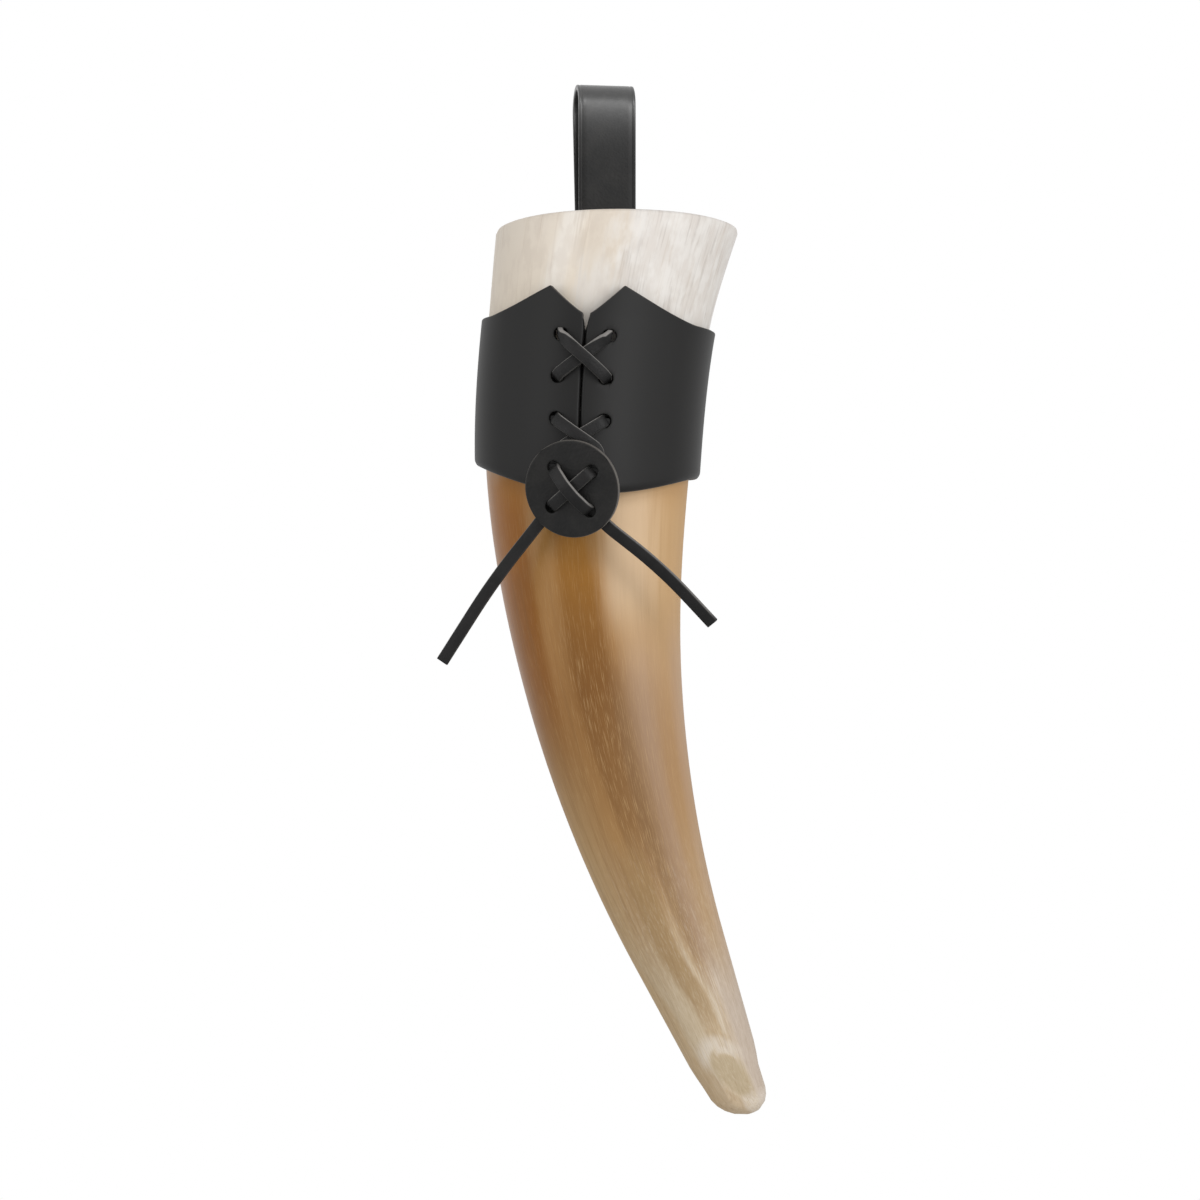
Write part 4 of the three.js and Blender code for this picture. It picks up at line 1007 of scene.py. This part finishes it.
rivets = {}
for where, z in RIVET_HEIGHTS.items():
    for kind, model, depth in (("cap", cap, STACK + CLEARANCE), ("post", post, -LEATHER)):
        pick_alone(model)
        bpy.ops.object.duplicate()
        copy = name_new(f"rivet_{kind}_{where}_turned")
        foot = rivet_seat(z, depth)
        lay(copy, lambda points: points @ RIVET_STAND.T + foot)
        smooth(copy)
        rivets[f"rivet_{kind}_{where}"] = copy
for model in (cap, post):
    discard(model)
print("rivet pieces:", ", ".join(rivets))

# %% [markdown]
# ## Room for the rivets
# The flat heads of the posts lie flush in pockets on the inside of the band, and the pins go through band
# and strap. Punching works on flat sheets only, and a pocket doesn't go through the leather. So both are
# cut with booleans after the sheets are bent, where strap and rivets hide the thin faces they leave.

# %% Rivet pockets
THROUGH_BAND, THROUGH_STRAP = 4 * LEATHER, 6 * LEATHER
PIN_HOLE, HEAD_HOLE = RIVET_POST + 2 * CLEARANCE, RIVET_HEAD + 2 * CLEARANCE
POCKET_DEPTH = RIVET_FLANGE + CLEARANCE


def cut_round(piece, centre, diameter, length):
    cutter = new_piece("cutter", bpy.ops.mesh.primitive_cylinder_add, vertices=RIVET_SIDES,
                       radius=diameter / 2, depth=length)
    lay(cutter, lambda points: points @ RIVET_STAND.T + centre)
    add_modifier(piece, "BOOLEAN", operation="DIFFERENCE", object=cutter, solver="EXACT")
    discard(cutter)


for where, z in RIVET_HEIGHTS.items():
    cut_round(band, rivet_seat(z), PIN_HOLE, THROUGH_BAND)
    cut_round(band, rivet_seat(z, POCKET_DEPTH - LEATHER - RIVET_HEAD / 2), HEAD_HOLE, RIVET_HEAD)
    cut_round(strap, rivet_seat(z, REAR_JOIN), PIN_HOLE, THROUGH_STRAP)
print("band faces with pockets", len(band.data.polygons))

# %% [markdown]
# ## The button
# The button is a disc of the same leather with four holes. A circle filled with one face couldn't be
# punched, so a square grid is pulled into a round outline, punched, thickened and set in its own frame.

# %% Button
BUTTON_DIAMETER, BUTTON_CELLS = 0.0312, 36
button = new_grid("button_leather", BUTTON_CELLS, BUTTON_CELLS, size=2)


def round_outline(points):
    """A square turned into a disc: each square ring becomes a circle."""
    x, y = points[:, 0], points[:, 1]
    disc = stacked(x * np.sqrt(1 - y * y / 2), y * np.sqrt(1 - x * x / 2), 0.0)
    return disc * BUTTON_DIAMETER / 2


lay(button, round_outline)
hole_sides = -BUTTON_HOLE_OUT, BUTTON_HOLE_OUT
button_holes = [Vector((right, up, 0)) for right in hole_sides for up in hole_sides]
for hole in button_holes:
    punch(button, hole, TIGHT_HOLE)
# Painted shade: the walls of the button's holes keep the dark face colour instead of the pale edge colour.
thicken(button, lambda place: in_hole(place, button_holes))
lay(button, lambda points: button_point(*points.T))
clean(button)
smooth(button)
print("button faces", len(button.data.polygons))

# %% [markdown]
# ## Crossings and holes of the lacing
# Wherever two stretches of thong make an X, the upper one rises over the lower. They could simply pass
# through each other, which shows from the side. So a stretch that crosses over gets a short raised leg in
# its middle. The solids follow the same corners, so each stretch lies exactly where its solid does.

# %% Lacing corners
CROSSING_CLEARANCE, CROSSING_BEND, CROSSING_EASE = 0.0004, 0.0013, 0.0004
OVER_CROSSING = ON_FACE + LACE_THICKNESS + CROSSING_CLEARANCE
CROSSING_PLATEAU = LACE_WIDTH / 2 + CROSSING_EASE


def crossing(start, end, lifted, start_twist=0.0, end_twist=0.0):
    """Corners of a stretch over a face from one hole to another, raised where it crosses over its partner."""
    first, last = np.array([*start, ON_FACE]), np.array([*end, ON_FACE])
    along = unit(last - first)
    top = (first + last) / 2 + np.array([0, 0, OVER_CROSSING - ON_FACE])
    raised = [top - along * CROSSING_PLATEAU, top + along * CROSSING_PLATEAU]
    between = raised if lifted else [(first + last) / 2]
    inner = [corner(at, CROSSING_BEND) for at in between]
    return [corner(first, twist=start_twist), *inner, corner(last, twist=end_twist)]


def inside(hole):
    return corner((*hole, BEHIND_FACE))


def hole_end(hole, shift):
    return corner((*hole, HOLE_MIDDLE + shift))


print("an upper stretch rises to", round(OVER_CROSSING, 5), "above the leather")

# %% [markdown]
# ## The lacing on the band
# The thong makes a bar inside the band at the top, an X over the slit and two runs inside. It could be cut
# into short straight strips, but the real one is a single piece, so it is drawn in one go from hole to hole.
# It twists in the upper holes, where its pale edge turns to the front.

# %% Lacing on the band
HOLE_TWIST = math.radians(48)
(left_0, right_0), (left_1, right_1), (left_2, right_2) = (
    [(side * LACE_HOLE_OUT, lace_row(row)) for side in (-1, 1)] for row in range(LACE_ROWS))
upper_corners = [
    hole_end(left_2, -CLEARANCE / 2), inside(left_2), inside(left_1),
    *crossing(left_1, right_0, False, end_twist=HOLE_TWIST), inside(right_0), inside(left_0),
    *crossing(left_0, right_1, True, start_twist=HOLE_TWIST), inside(right_1), inside(right_2),
    hole_end(right_2, -CLEARANCE / 2),
]
run, bar = np.array([1.0, 0, 0]), np.array([0, 1.0, 0])
under, over = flat_across(left_1, right_0), flat_across(left_0, right_1)
upper_legs = [run, run, None, under, under, None, bar, None, over, over, over, None, run, run]
laces = {"lace_upper": make_thong("lacing", upper_corners, upper_legs, band_point)[0]}
print("corners of the lacing:", len(upper_corners))

# %% [markdown]
# ## The lacing on the button
# Two stretches make an X on the button. They could be copies of the band's X, but the button's holes are
# closer together, so the same crossing is drawn again in the frame of the button.

# %% Lacing on the button
for kind, side, lifted in (("over", -1, True), ("under", 1, False)):
    start = (side * PULLED_IN, PULLED_IN)
    end = (-side * PULLED_IN, -PULLED_IN)
    corners = [hole_end(start, CLEARANCE / 2), *crossing(start, end, lifted), hole_end(end, CLEARANCE / 2)]
    legs = [flat_across(start, end)] * (len(corners) - 1)
    laces[f"lace_cross_{kind}"] = make_thong(f"button_cross_{kind}", corners, legs, button_point)[0]
print("stretches so far:", ", ".join(laces))

# %% [markdown]
# ## The lacing behind the button
# From the lowest holes of the band two strands cross once more and run behind the button into its upper
# holes. They start on the band and end on the button, so the ends in the button's frame are first turned
# into band coordinates. That is done step by step, because the wrapping has no simple inverse.

# %% Lacing behind the button
STRAND_CROSS_DROP, STRAND_KNEE_OUT, STRAND_KNEE_BEND, STRAND_EASE = 0.0054, 0.0062, 0.003, 0.0005


def on_band(point):
    """The band coordinates of a point in space, found step by step."""
    found = np.array([BUTTON_SIDEWAYS, BUTTON_DOWN, 0.0])
    for _ in range(SOLVE_STEPS):
        here = band_point(*found)
        for i, step in enumerate(np.eye(3) * MILLIMETRE):
            slope = (band_point(*(found + step)) - here) / MILLIMETRE
            found = found + np.eye(3)[i] * ((point - here) @ slope) / (slope @ slope)
            here = band_point(*found)
    return found


strand_ends = {}
middle_down = lace_row(2) + STRAND_CROSS_DROP
knee_down = middle_down + STRAND_KNEE_OUT * (STRAND_CROSS_DROP / LACE_HOLE_OUT)
for where, side, lifted in (("left", -1, True), ("right", 1, False)):
    start = (side * LACE_HOLE_OUT, lace_row(2))
    middle = np.array([0, middle_down, OVER_CROSSING if lifted else ON_FACE])
    along = unit(np.array([-side * LACE_HOLE_OUT, STRAND_CROSS_DROP, 0]))
    knee = (-side * STRAND_KNEE_OUT, knee_down, ON_FACE)
    hole = (-side * BUTTON_HOLE_OUT, BUTTON_HOLE_OUT)
    behind = on_band(button_point(*hole, BEHIND_FACE - STRAND_EASE))
    corners = [
        hole_end(start, CLEARANCE / 2), corner((*start, ON_FACE)),
        corner(middle - along * CROSSING_PLATEAU, CROSSING_BEND),
        corner(middle + along * CROSSING_PLATEAU, CROSSING_BEND),
        corner(knee, STRAND_KNEE_BEND), corner(behind),
        corner(on_band(button_point(*hole, HOLE_MIDDLE - CLEARANCE / 2))),
    ]
    across = np.array([-along[1], along[0], 0])
    legs = [across] * 4 + [flat_across(knee, behind)] * 2
    strand, line, _ = make_thong(f"strand_{where}", corners, legs, band_point)
    laces[f"lace_strand_{where}"] = strand
    strand_ends[f"lace_strand_{where}"] = line[[0, -1]]
print("strand ends:", {node: ends.round(4).tolist() for node, ends in strand_ends.items()})

# %% [markdown]
# ## Writing shader maths as sums
# A finish is a net of small nodes, which could be drawn by hand in the shader editor. Hundreds of nodes are
# hard to read there. `Wire` holds one socket of the net, and adding or multiplying wires makes the Math
# nodes, so a mask reads like a formula. Every node comes from one method, which fills or links its sockets.

# %% Wires
class Wire:
    def __init__(self, tree, socket=None):
        self.tree, self.socket = tree, socket

    def node(self, kind, settings=None, inputs=None, output=0):
        made = self.tree.nodes.new(kind)
        for key, value in (settings or {}).items():
            if key == "stops":
                stops = made.color_ramp.elements
                stops.remove(stops[-1])
                stops[0].position, stops[0].color = value[0]
                for place, colour in value[1:]:
                    stops.new(place).color = colour
            else:
                setattr(made, key, value)
        for key, value in (inputs or {}).items():
            if isinstance(value, Wire):
                self.tree.links.new(value.socket, made.inputs[key])
            else:
                made.inputs[key].default_value = value
        return Wire(self.tree, made.outputs[output] if len(made.outputs) else None)

    def math(self, operation, *values):
        return self.node("ShaderNodeMath", {"operation": operation}, dict(enumerate(values)))

    def __add__(self, other):
        return self.math("ADD", self, other)

    def __sub__(self, other):
        return self.math("SUBTRACT", self, other)

    def __rsub__(self, other):
        return self.math("SUBTRACT", other, self)

    def __mul__(self, other):
        return self.math("MULTIPLY", self, other)

    def mix(self, first, second):
        """One colour to another, with this wire as the share of the second. Sockets 6 and 7 take colours."""
        settings = {"data_type": "RGBA", "clamp_factor": True}
        return self.node("ShaderNodeMix", settings, {0: self, 6: first, 7: second}, 2)

    def between(self, low, high):
        """0 below low, 1 above high and a smooth step between them."""
        settings = {"interpolation_type": "SMOOTHSTEP"}
        return self.node("ShaderNodeMapRange", settings, {0: self, 1: low, 2: high, 3: 0.0, 4: 1.0})

    def within(self, rise, full, fade, end):
        """A hump that rises over the first two values and falls over the last two."""
        return self.between(rise, full) - self.between(fade, end)

    def noise(self, scale, detail=3.0, roughness=0.5):
        inputs = {"Vector": self, "Scale": scale, "Detail": detail, "Roughness": roughness}
        return self.node("ShaderNodeTexNoise", None, inputs)

    def stretched(self, x, y, z):
        """The same coordinates with each axis scaled."""
        return self.node("ShaderNodeVectorMath", {"operation": "MULTIPLY"}, {0: self, 1: (x, y, z)})

    def part(self, axis):
        return self.node("ShaderNodeSeparateXYZ", None, {0: self}, axis)

    def bump(self, strength, distance):
        inputs = {"Strength": strength, "Distance": distance, "Height": self}
        return self.node("ShaderNodeBump", None, inputs)


print("wires can", ", ".join(name for name in vars(Wire) if "_" not in name))

# %% [markdown]
# ## Helpers for a finish
# A real surface has layers: a ground colour, then stains, wear and shine over it. They could be mixed in any
# order, but later layers cover earlier ones, as paint does. `coat` therefore lays a list of layers one after
# the other. Each has a mask for where and how strongly it shows, and a colour as it is seen on screen.

# %% Finish helpers
def new_finish(name):
    """A material with an empty tree, and a wire to start from."""
    material = bpy.data.materials.new(name)
    material.use_nodes = True
    material.node_tree.nodes.clear()
    return material, Wire(material.node_tree)


def attribute(wire, name, vector=False):
    return wire.node("ShaderNodeAttribute", {"attribute_name": name}, None, "Vector" if vector else "Fac")


def object_place(wire):
    return wire.node("ShaderNodeTexCoord", None, None, "Object")


def srgb(red, green, blue):
    """A colour as it is seen on screen, in the linear numbers that a shader takes."""
    values = [value / 255 for value in (red, green, blue)]
    return tuple(v / 12.92 if v <= 0.04045 else ((v + 0.055) / 1.055) ** 2.4 for v in values) + (1.0,)


def coat(ground, *layers):
    for mask, red, green, blue in layers:
        ground = mask.mix(ground, srgb(red, green, blue))
    return ground


def close_finish(wire, **inputs):
    surface = wire.node("ShaderNodeBsdfPrincipled", None, {k.replace("_", " "): v for k, v in inputs.items()})
    wire.node("ShaderNodeOutputMaterial", None, {"Surface": surface})


print("middle grey is", [round(value, 3) for value in srgb(128, 128, 128)])

# %% [markdown]
# ## The growth of the horn
# Horn grows in layers like a nail. It is bone white at the mouth, honey brown in the middle and olive cream
# at the tip. A picture could be wrapped round it, but it would smear at the tip. So a colour ramp runs along
# the horn, and noises stretched along its fibres disturb it. All read the grain, which is the angle round the
# horn and the distance along it, so the fibres follow the bend.

# %% Horn growth
horn_finish, wire = new_finish("horn")
grain_wire = attribute(wire, "grain", vector=True)
front, side, along = (grain_wire.part(axis) for axis in range(3))


def fibrous(squeeze, scale, detail, roughness):
    return grain_wire.stretched(1, 1, squeeze).noise(scale, detail, roughness)


broad = fibrous(6, 2.4, 3.0, 0.5)
RAMP_SCALE, RAMP_WANDER = 3.3, 0.06
growth = wire.node("ShaderNodeValToRGB", {"stops": [
    (0.0, srgb(219, 209, 196)),
    (0.16, srgb(212, 200, 182)),
    (0.28, srgb(147, 98, 24)),
    (0.50, srgb(130, 88, 38)),
    (0.66, srgb(150, 114, 70)),
    (0.82, srgb(170, 146, 114)),
    (0.95, srgb(186, 168, 142)),
]}, {0: along * RAMP_SCALE + (broad - 0.5) * RAMP_WANDER})
print("horn nodes so far:", len(horn_finish.node_tree.nodes))

# %% [markdown]
# ## The mouth of the horn
# Near the mouth the horn is bleached on one side and cream on the other, with a slanted pale stripe, a tan
# patch under the rim, soft clouds and a few grey and warm hairs. One noise could speckle it all over, but
# these marks have places of their own, so each is a mask of the side and the distance, torn by noise.

# %% Horn mouth
patches, clouds = fibrous(9, 6.0, 3.0, 0.6), fibrous(14, 7.0, 3.0, 0.6)
streaks, hairs = fibrous(1.6, 11.0, 4.0, 0.6), fibrous(1.2, 46.0, 3.0, 0.6)
torn_side = side + (patches - 0.5) * 0.5 + (hairs - 0.5) * 0.3
mouth = 1 - along.between(0.045, 0.085)
low_down = (along + (patches - 0.5) * 0.03).between(0.006, 0.022)
slant = side + along * 4.4 + (hairs - 0.5) * 0.10
pale_stripe = slant.within(-0.46, -0.35, -0.30, -0.16) * (patches * 0.8 + 0.2)
grey_hairs = hairs.between(0.45, 0.66) * patches.between(0.40, 0.58) * side.between(-0.1, 0.35)
warm_hairs = streaks.between(0.50, 0.68) * hairs.between(0.40, 0.60)
tan_patch = torn_side.within(-0.34, -0.18, 0.0, 0.18) * (1 - low_down)
white_clouds = (1 - clouds).between(0.46, 0.64) * side.between(-0.2, 0.1)
mouth_done = coat(
    growth,
    (torn_side.between(-0.06, 0.24) * mouth * 0.85, 206, 202, 198),
    (torn_side.between(-0.36, -0.10) * low_down * mouth * 0.75, 208, 203, 197),
    (pale_stripe * mouth, 228, 223, 216),
    (grey_hairs * mouth * 0.42, 160, 151, 144),
    (warm_hairs * mouth * 0.30, 180, 162, 142),
    (tan_patch * 0.45, 190, 178, 163),
    (clouds.between(0.46, 0.64) * mouth * 0.18, 180, 166, 154),
    (white_clouds * mouth * 0.4, 220, 217, 213),
)
print("horn nodes with the mouth:", len(horn_finish.node_tree.nodes))

# %% [markdown]
# ## The middle of the horn
# Below the band the horn is honey brown, with a dark core line down its front, a pale inner side and a dark
# outer edge. Over these lie a painted highlight under the button, a painted sheen on the left and a painted
# greyish sheen on the right side and rim. Painting weights on the vertices would show these too, but masks
# stay sharp at any distance and bend with the grain.

# %% Horn middle
fibres = fibrous(1.5, 100.0, 2.0, 0.6)
wavy_side = side + (streaks - 0.5) * 0.22
shank = along.between(0.12, 0.19)
facing = front.between(0.0, 0.25)
inner_side = (wavy_side - (along - 0.11) * 4.0).between(-0.10, 0.38) * along.between(0.06, 0.10)
# Painted highlight: a pale patch under the button stands in for the reflection of the right lamp.
painted_highlight = wavy_side.within(0.02, 0.32, 0.50, 0.85) * along.within(0.080, 0.095, 0.118, 0.140) * facing
outer_edge = (0 - side).between(0.42, 0.75) * along.between(0.07, 0.10) * (1 - shank)
# Painted sheen: a lighter strip on the left stands in for the reflection of the left lamp.
painted_sheen_left = side.within(-0.68, -0.56, -0.42, -0.28) * along.between(0.08, 0.10) * (1 - shank)
pale_edge = (0 - wavy_side).between(0.35, 0.95) * along.between(0.16, 0.21)
core_line = wavy_side - (along - 0.15) * 2.6
core = core_line.within(-0.50, -0.30, 0.06, 0.26) * front.between(0.0, 0.3)
dark_line = wavy_side + (along - 0.15) * 0.8
dark_start = dark_line - along.between(0.19, 0.25) * 0.2
dark_side = (dark_start.between(-0.06, 0.22) - dark_line.between(0.46, 0.82)) * along.between(0.135, 0.165)
above_tip = 1 - along.between(0.238, 0.268)
# Painted sheen: a greyish, paler colour on the right side and at the right rim stands in for a whitish
# reflection.
painted_sheen_right = wavy_side.between(0.2, 0.5) - wavy_side.between(0.5, 0.8) * 0.7 + side.between(0.78, 0.92) * 0.8
grown = along.between(0.07, 0.11)
fine = core * along.between(0.11, 0.16) * 0.13 + shank * 0.07 + 0.09
middle_done = coat(
    mouth_done,
    (inner_side * (0.85 - shank * 0.65), 188, 155, 114),
    (painted_highlight * 0.5, 216, 191, 162),
    (outer_edge * 0.65, 136, 78, 2),
    (painted_sheen_left * 0.4, 178, 138, 88),
    (pale_edge * 0.5, 188, 160, 118),
    (core * along.within(0.10, 0.15, 0.19, 0.23) * 0.5, 98, 60, 20),
    (dark_side * above_tip * 0.62, 120, 90, 58),
    (painted_sheen_right * along.between(0.122, 0.150) * above_tip * 0.28, 182, 156, 138),
    (streaks.between(0.48, 0.72) * grown * (0.26 - inner_side * 0.18), 116, 80, 40),
    (fibres.between(0.52, 0.68) * fine * grown, 208, 176, 126),
)
print("horn nodes with the middle:", len(horn_finish.node_tree.nodes))

# %% [markdown]
# ## The tip of the horn
# Towards the tip the horn is scraped. A painted highlight follows the ridge as a pale crest, with an olive
# wedge and cream beside it, frost and pink on the inner side, and a ground flat with a bright rim. The flat
# could have a material of its own, but its edge would be too clean. So a ragged oval in the grain marks it,
# under fine mottling.

# %% Horn tip
FLAT_ALONG, FLAT_SIDE, FLAT_SLANT, FLAT_WIDE, FLAT_LONG = 0.2878, 0.10, 18, 2.1, 8600
crest_line = side - RIDGE_TURN - along.between(SHIFT_FROM, SHIFT_TO) * RIDGE_SHIFT
# Painted highlight: a pale streak along the crest of the ridge.
painted_crest_highlight = crest_line.within(-0.12, -0.02, 0.01, 0.10) * along.within(0.222, 0.270, 0.272, 0.276) * facing
crest_torn = streaks * 0.45 + hairs.between(0.40, 0.60) * 0.7
olive = crest_line.within(-0.65, -0.40, -0.16, -0.02) * along.within(0.195, 0.225, 0.256, 0.278) * facing
cream = crest_line.within(-1.10, -0.90, -0.60, -0.40) * along.within(0.225, 0.262, 0.272, 0.286) * facing
frost = wavy_side.within(0.16, 0.32, 0.50, 0.80) * along.within(0.247, 0.256, 0.258, 0.272) * facing
to_flat = along - FLAT_ALONG + (hairs - 0.5) * 0.002
flat_side = (side - to_flat * FLAT_SLANT - FLAT_SIDE) * FLAT_WIDE
flat_reach = flat_side * flat_side + to_flat * to_flat * FLAT_LONG
scraped = flat_reach.within(0.8, 1.1, 1.3, 2.6) * (1 - along.between(0.278, 0.286)) * facing
scraped_streaks = (streaks * 0.5 + hairs * 0.5).between(0.42, 0.62) * along.between(0.17, 0.23)
brown_end = along.between(0.274, 0.288) * (1 - side.between(-0.3, 0.3)) * flat_reach.between(0.9, 1.3)
white_end = along.between(0.2945, 0.2985) * side.between(-0.15, 0.05) * hairs.between(0.34, 0.54) * facing
mottle, mottled_here = fibrous(9, 30.0, 4.0, 0.7), along.between(0.19, 0.25)
hollow = attribute(wire, "hollow")
horn_colour = coat(
    middle_done,
    (olive * 0.48, 136, 109, 68),
    (cream * 0.5, 194, 180, 156),
    (wavy_side.between(0.25, 0.65) * along.between(0.235, 0.27) * 0.75, 186, 173, 162),
    (frost * (hairs.between(0.40, 0.62) * 0.42 + 0.02), 212, 201, 188),
    (painted_crest_highlight * crest_torn, 200, 187, 168),
    (scraped * hairs.between(0.28, 0.52) * 0.75, 212, 203, 191),
    (flat_reach.within(0.6, 0.95, 1.0, 1.4) * facing * 0.25, 204, 190, 166),
    ((1 - flat_reach.between(0.5, 1.15)) * facing, 175, 158, 130),
    (scraped_streaks * 0.12, 132, 104, 70),
    (brown_end * 0.14, 146, 112, 70),
    (white_end * 0.6, 214, 205, 194),
    (mottle.between(0.48, 0.72) * mottled_here * 0.26, 214, 202, 184),
    ((1 - mottle).between(0.48, 0.72) * mottled_here * 0.22, 128, 100, 66),
    (hollow, 176, 158, 130),
)
print("horn nodes with the tip:", len(horn_finish.node_tree.nodes))

# %% [markdown]
# ## The gloss of the horn
# The horn is polished below the band and matt at the mouth, the tip and inside. Two materials would leave a
# seam, so one roughness rises and falls along it, and a shallow bump lets the fibres break the highlights.

# %% Horn gloss
scraped_matt = along.between(0.145, 0.205) * 0.24
matt = hollow * 0.17 + mouth * 0.12 + scraped_matt + inner_side * (1 - shank) * 0.28
horn_rough = fibres * 0.08 + streaks * 0.06 + 0.28 + matt
horn_bump = (fibres * 0.4 + streaks * 0.4 + broad * 0.4).bump(0.2, 0.0003)
close_finish(wire, Base_Color=horn_colour, Roughness=horn_rough, Normal=horn_bump, IOR=1.54,
             Specular_IOR_Level=0.25)
print("horn nodes in all:", len(horn_finish.node_tree.nodes))

# %% [markdown]
# ## The finish of the leather
# The leather is dyed black and waxed, so it is a soft charcoal with a fine grain and a dull sheen. Where it
# was cut, the dye is thinner and the edge greyer. One flat black would look like plastic. So clouds and
# scuffs vary the colour, and small cells raise the grain, in the flat coordinates of each piece. A coat of
# wax shines where the strap bends.

# %% Leather finish
def make_leather(name, face, worn, edge):
    finish, wire = new_finish(name)
    flat = attribute(wire, "flat", vector=True)
    cut, waxed = attribute(wire, "cut_edge"), attribute(wire, "waxed")
    cloud, scuffs = flat.noise(90.0, 4.0, 0.6), flat.noise(420.0, 5.0, 0.65)
    grain = flat.noise(1500.0, 3.0, 0.6)
    cells = flat.node("ShaderNodeTexVoronoi", None, {"Vector": flat, "Scale": 1100.0})
    colour = coat(
        srgb(*face),
        (cloud.between(0.35, 0.75), *worn),
        (scuffs.between(0.50, 0.72) * 0.6, *worn),
        # On the thongs this pale edge carries painted light from above and painted shade at the ends; on the
        # band and button it is left out as painted shade in the slit and holes.
        (cut * (grain * 0.8 + 0.5), *edge),
    )
    roughness = scuffs * 0.18 + 0.40 + cut * 0.15
    bump = (cells * 0.5 + grain * 0.5 + cloud * 0.4).bump(0.35, 0.0003)
    close_finish(wire, Base_Color=colour, Roughness=roughness, Normal=bump, IOR=1.5,
                 Specular_IOR_Level=0.2, Coat_Weight=waxed * (scuffs * 0.4 + 0.8), Coat_Roughness=0.38,
                 Coat_IOR=1.7)
    return finish


leather_finish = make_leather("leather", (14, 14, 14), (29, 28, 27), (96, 92, 88))
thong_finish = make_leather("thong", (13, 13, 13), (24, 23, 23), (134, 131, 128))
print("leather nodes:", len(leather_finish.node_tree.nodes))

# %% [markdown]
# ## The finish of the rivets
# The rivets are steel that has gone dull behind the belt. A plain grey metal would mirror the studio too
# cleanly, so a fine tarnish varies its colour, its gloss and its surface.

# %% Rivet finish
rivet_finish, wire = new_finish("rivet")
tarnish = object_place(wire).noise(420.0, 3.0, 0.5)
rivet_colour = tarnish.between(0.35, 0.7).mix(srgb(84, 82, 80), srgb(102, 99, 96))
close_finish(wire, Base_Color=rivet_colour, Metallic=1.0, Roughness=tarnish * 0.15 + 0.26,
             Normal=tarnish.bump(0.05, 0.0002))
print("finishes:", [material.name for material in (horn_finish, leather_finish, thong_finish, rivet_finish)])

# %% [markdown]
# ## Pieces on their bodies
# Each piece stands for one solid of the model and moves with that solid's body. The strands behind the
# button are tied to the band at one end and to the button at the other. Riding on one of them, they would
# tear off the other, so they ride on no body and stay where they are laid.

# %% Ride and replace
def settle(piece, node, body, finish):
    piece.data.materials.clear()
    piece.data.materials.append(finish)
    if body:
        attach(piece, body)
        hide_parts(node)


settle(horn, "horn", "horn", horn_finish)
settle(band, "holder_band", "holder", leather_finish)
settle(strap, "belt_loop", "holder", leather_finish)
settle(button, "button_disc", "button", leather_finish)
for node, piece in rivets.items():
    settle(piece, node, "holder", rivet_finish)
for node, piece in laces.items():
    body = "button" if "cross" in node else "holder"
    settle(piece, node, None if node in strand_ends else body, thong_finish)
    if node in strand_ends:
        start, end = strand_ends[node]
        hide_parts(node)
        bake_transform(piece)
for tail in tails.values():
    settle(tail, None, None, thong_finish)
print("pieces settled:", 4 + len(rivets) + len(laces) + len(tails))

# %% [markdown]
# ## The white background
# The photograph has a pure white background. A white wall would catch shadows, so the world itself is white.
# It is full white to the camera and in reflections, and dimmer as a light, because otherwise it would
# wash out the shading.

# %% World
WORLD_LIGHT = 0.46
bpy.context.scene.view_settings.view_transform = "Standard"
world = bpy.data.worlds.new("studio")
bpy.context.scene.world = world
world.use_nodes = True
world.node_tree.nodes.clear()
sky = Wire(world.node_tree)
ray = [sky.node("ShaderNodeLightPath", None, None, f"Is {kind} Ray")
       for kind in ("Camera", "Glossy", "Transmission")]
seen = sky.math("MAXIMUM", ray[0], sky.math("MAXIMUM", ray[1], ray[2]))
background = sky.node("ShaderNodeBackground", None, {
    "Color": (1, 1, 1, 1), "Strength": seen * (1 - WORLD_LIGHT) + WORLD_LIGHT})
sky.node("ShaderNodeOutputWorld", None, {"Surface": background})
print("world nodes:", len(world.node_tree.nodes))

# %% [markdown]
# ## The lamps
# The light of the photograph is soft and comes from all sides, most of it from the right. A sun would throw
# hard shadows, so three soft boxes stand right, left and above. The last one lights the fold of the strap.

# %% Lamps
HORN_MIDDLE, FOLD_MIDDLE = (0.0, -0.045, -0.18), (0.0, -0.01, 0.0)
for name, place, target, size, power in (
    ("box_right", (0.74, -0.86, -0.01), HORN_MIDDLE, (0.80, 0.90), 7.3),
    ("box_left", (-1.0, -0.66, 0.0), HORN_MIDDLE, (0.75, 0.80), 3.2),
    ("box_top", (0.02, -0.80, 0.43), FOLD_MIDDLE, (0.40, 0.26), 1.9),
):
    pick_alone()
    aim = (Vector(target) - Vector(place)).to_track_quat("-Z", "Y").to_euler()
    bpy.ops.object.light_add(type="AREA", location=place, rotation=aim)
    lamp = bpy.context.object
    lamp.name = name
    lamp.data.shape = "RECTANGLE"
    lamp.data.size, lamp.data.size_y = size
    lamp.data.energy = power

# %% [markdown]
# ## The floor
# The object hangs from a belt, so it stands on nothing. A pale floor right under it would show in the
# picture, so a sheet of paper lies well below the view and only sends some light back up.

# %% Floor
FLOOR_SIZE, FLOOR_PLACE = 1.8, (0, -0.05, -0.62)
floor = new_grid("floor", 4, 4, FLOOR_SIZE)
lay(floor, lambda points: points + np.array(FLOOR_PLACE))
floor_finish, wire = new_finish("floor")
paper = object_place(wire).noise(30.0, 3.0)
close_finish(wire, Base_Color=paper.mix(srgb(240, 240, 239), srgb(246, 246, 245)), Roughness=0.9)
floor.data.materials.append(floor_finish)
print("floor at", FLOOR_PLACE[2])

# %% [markdown]
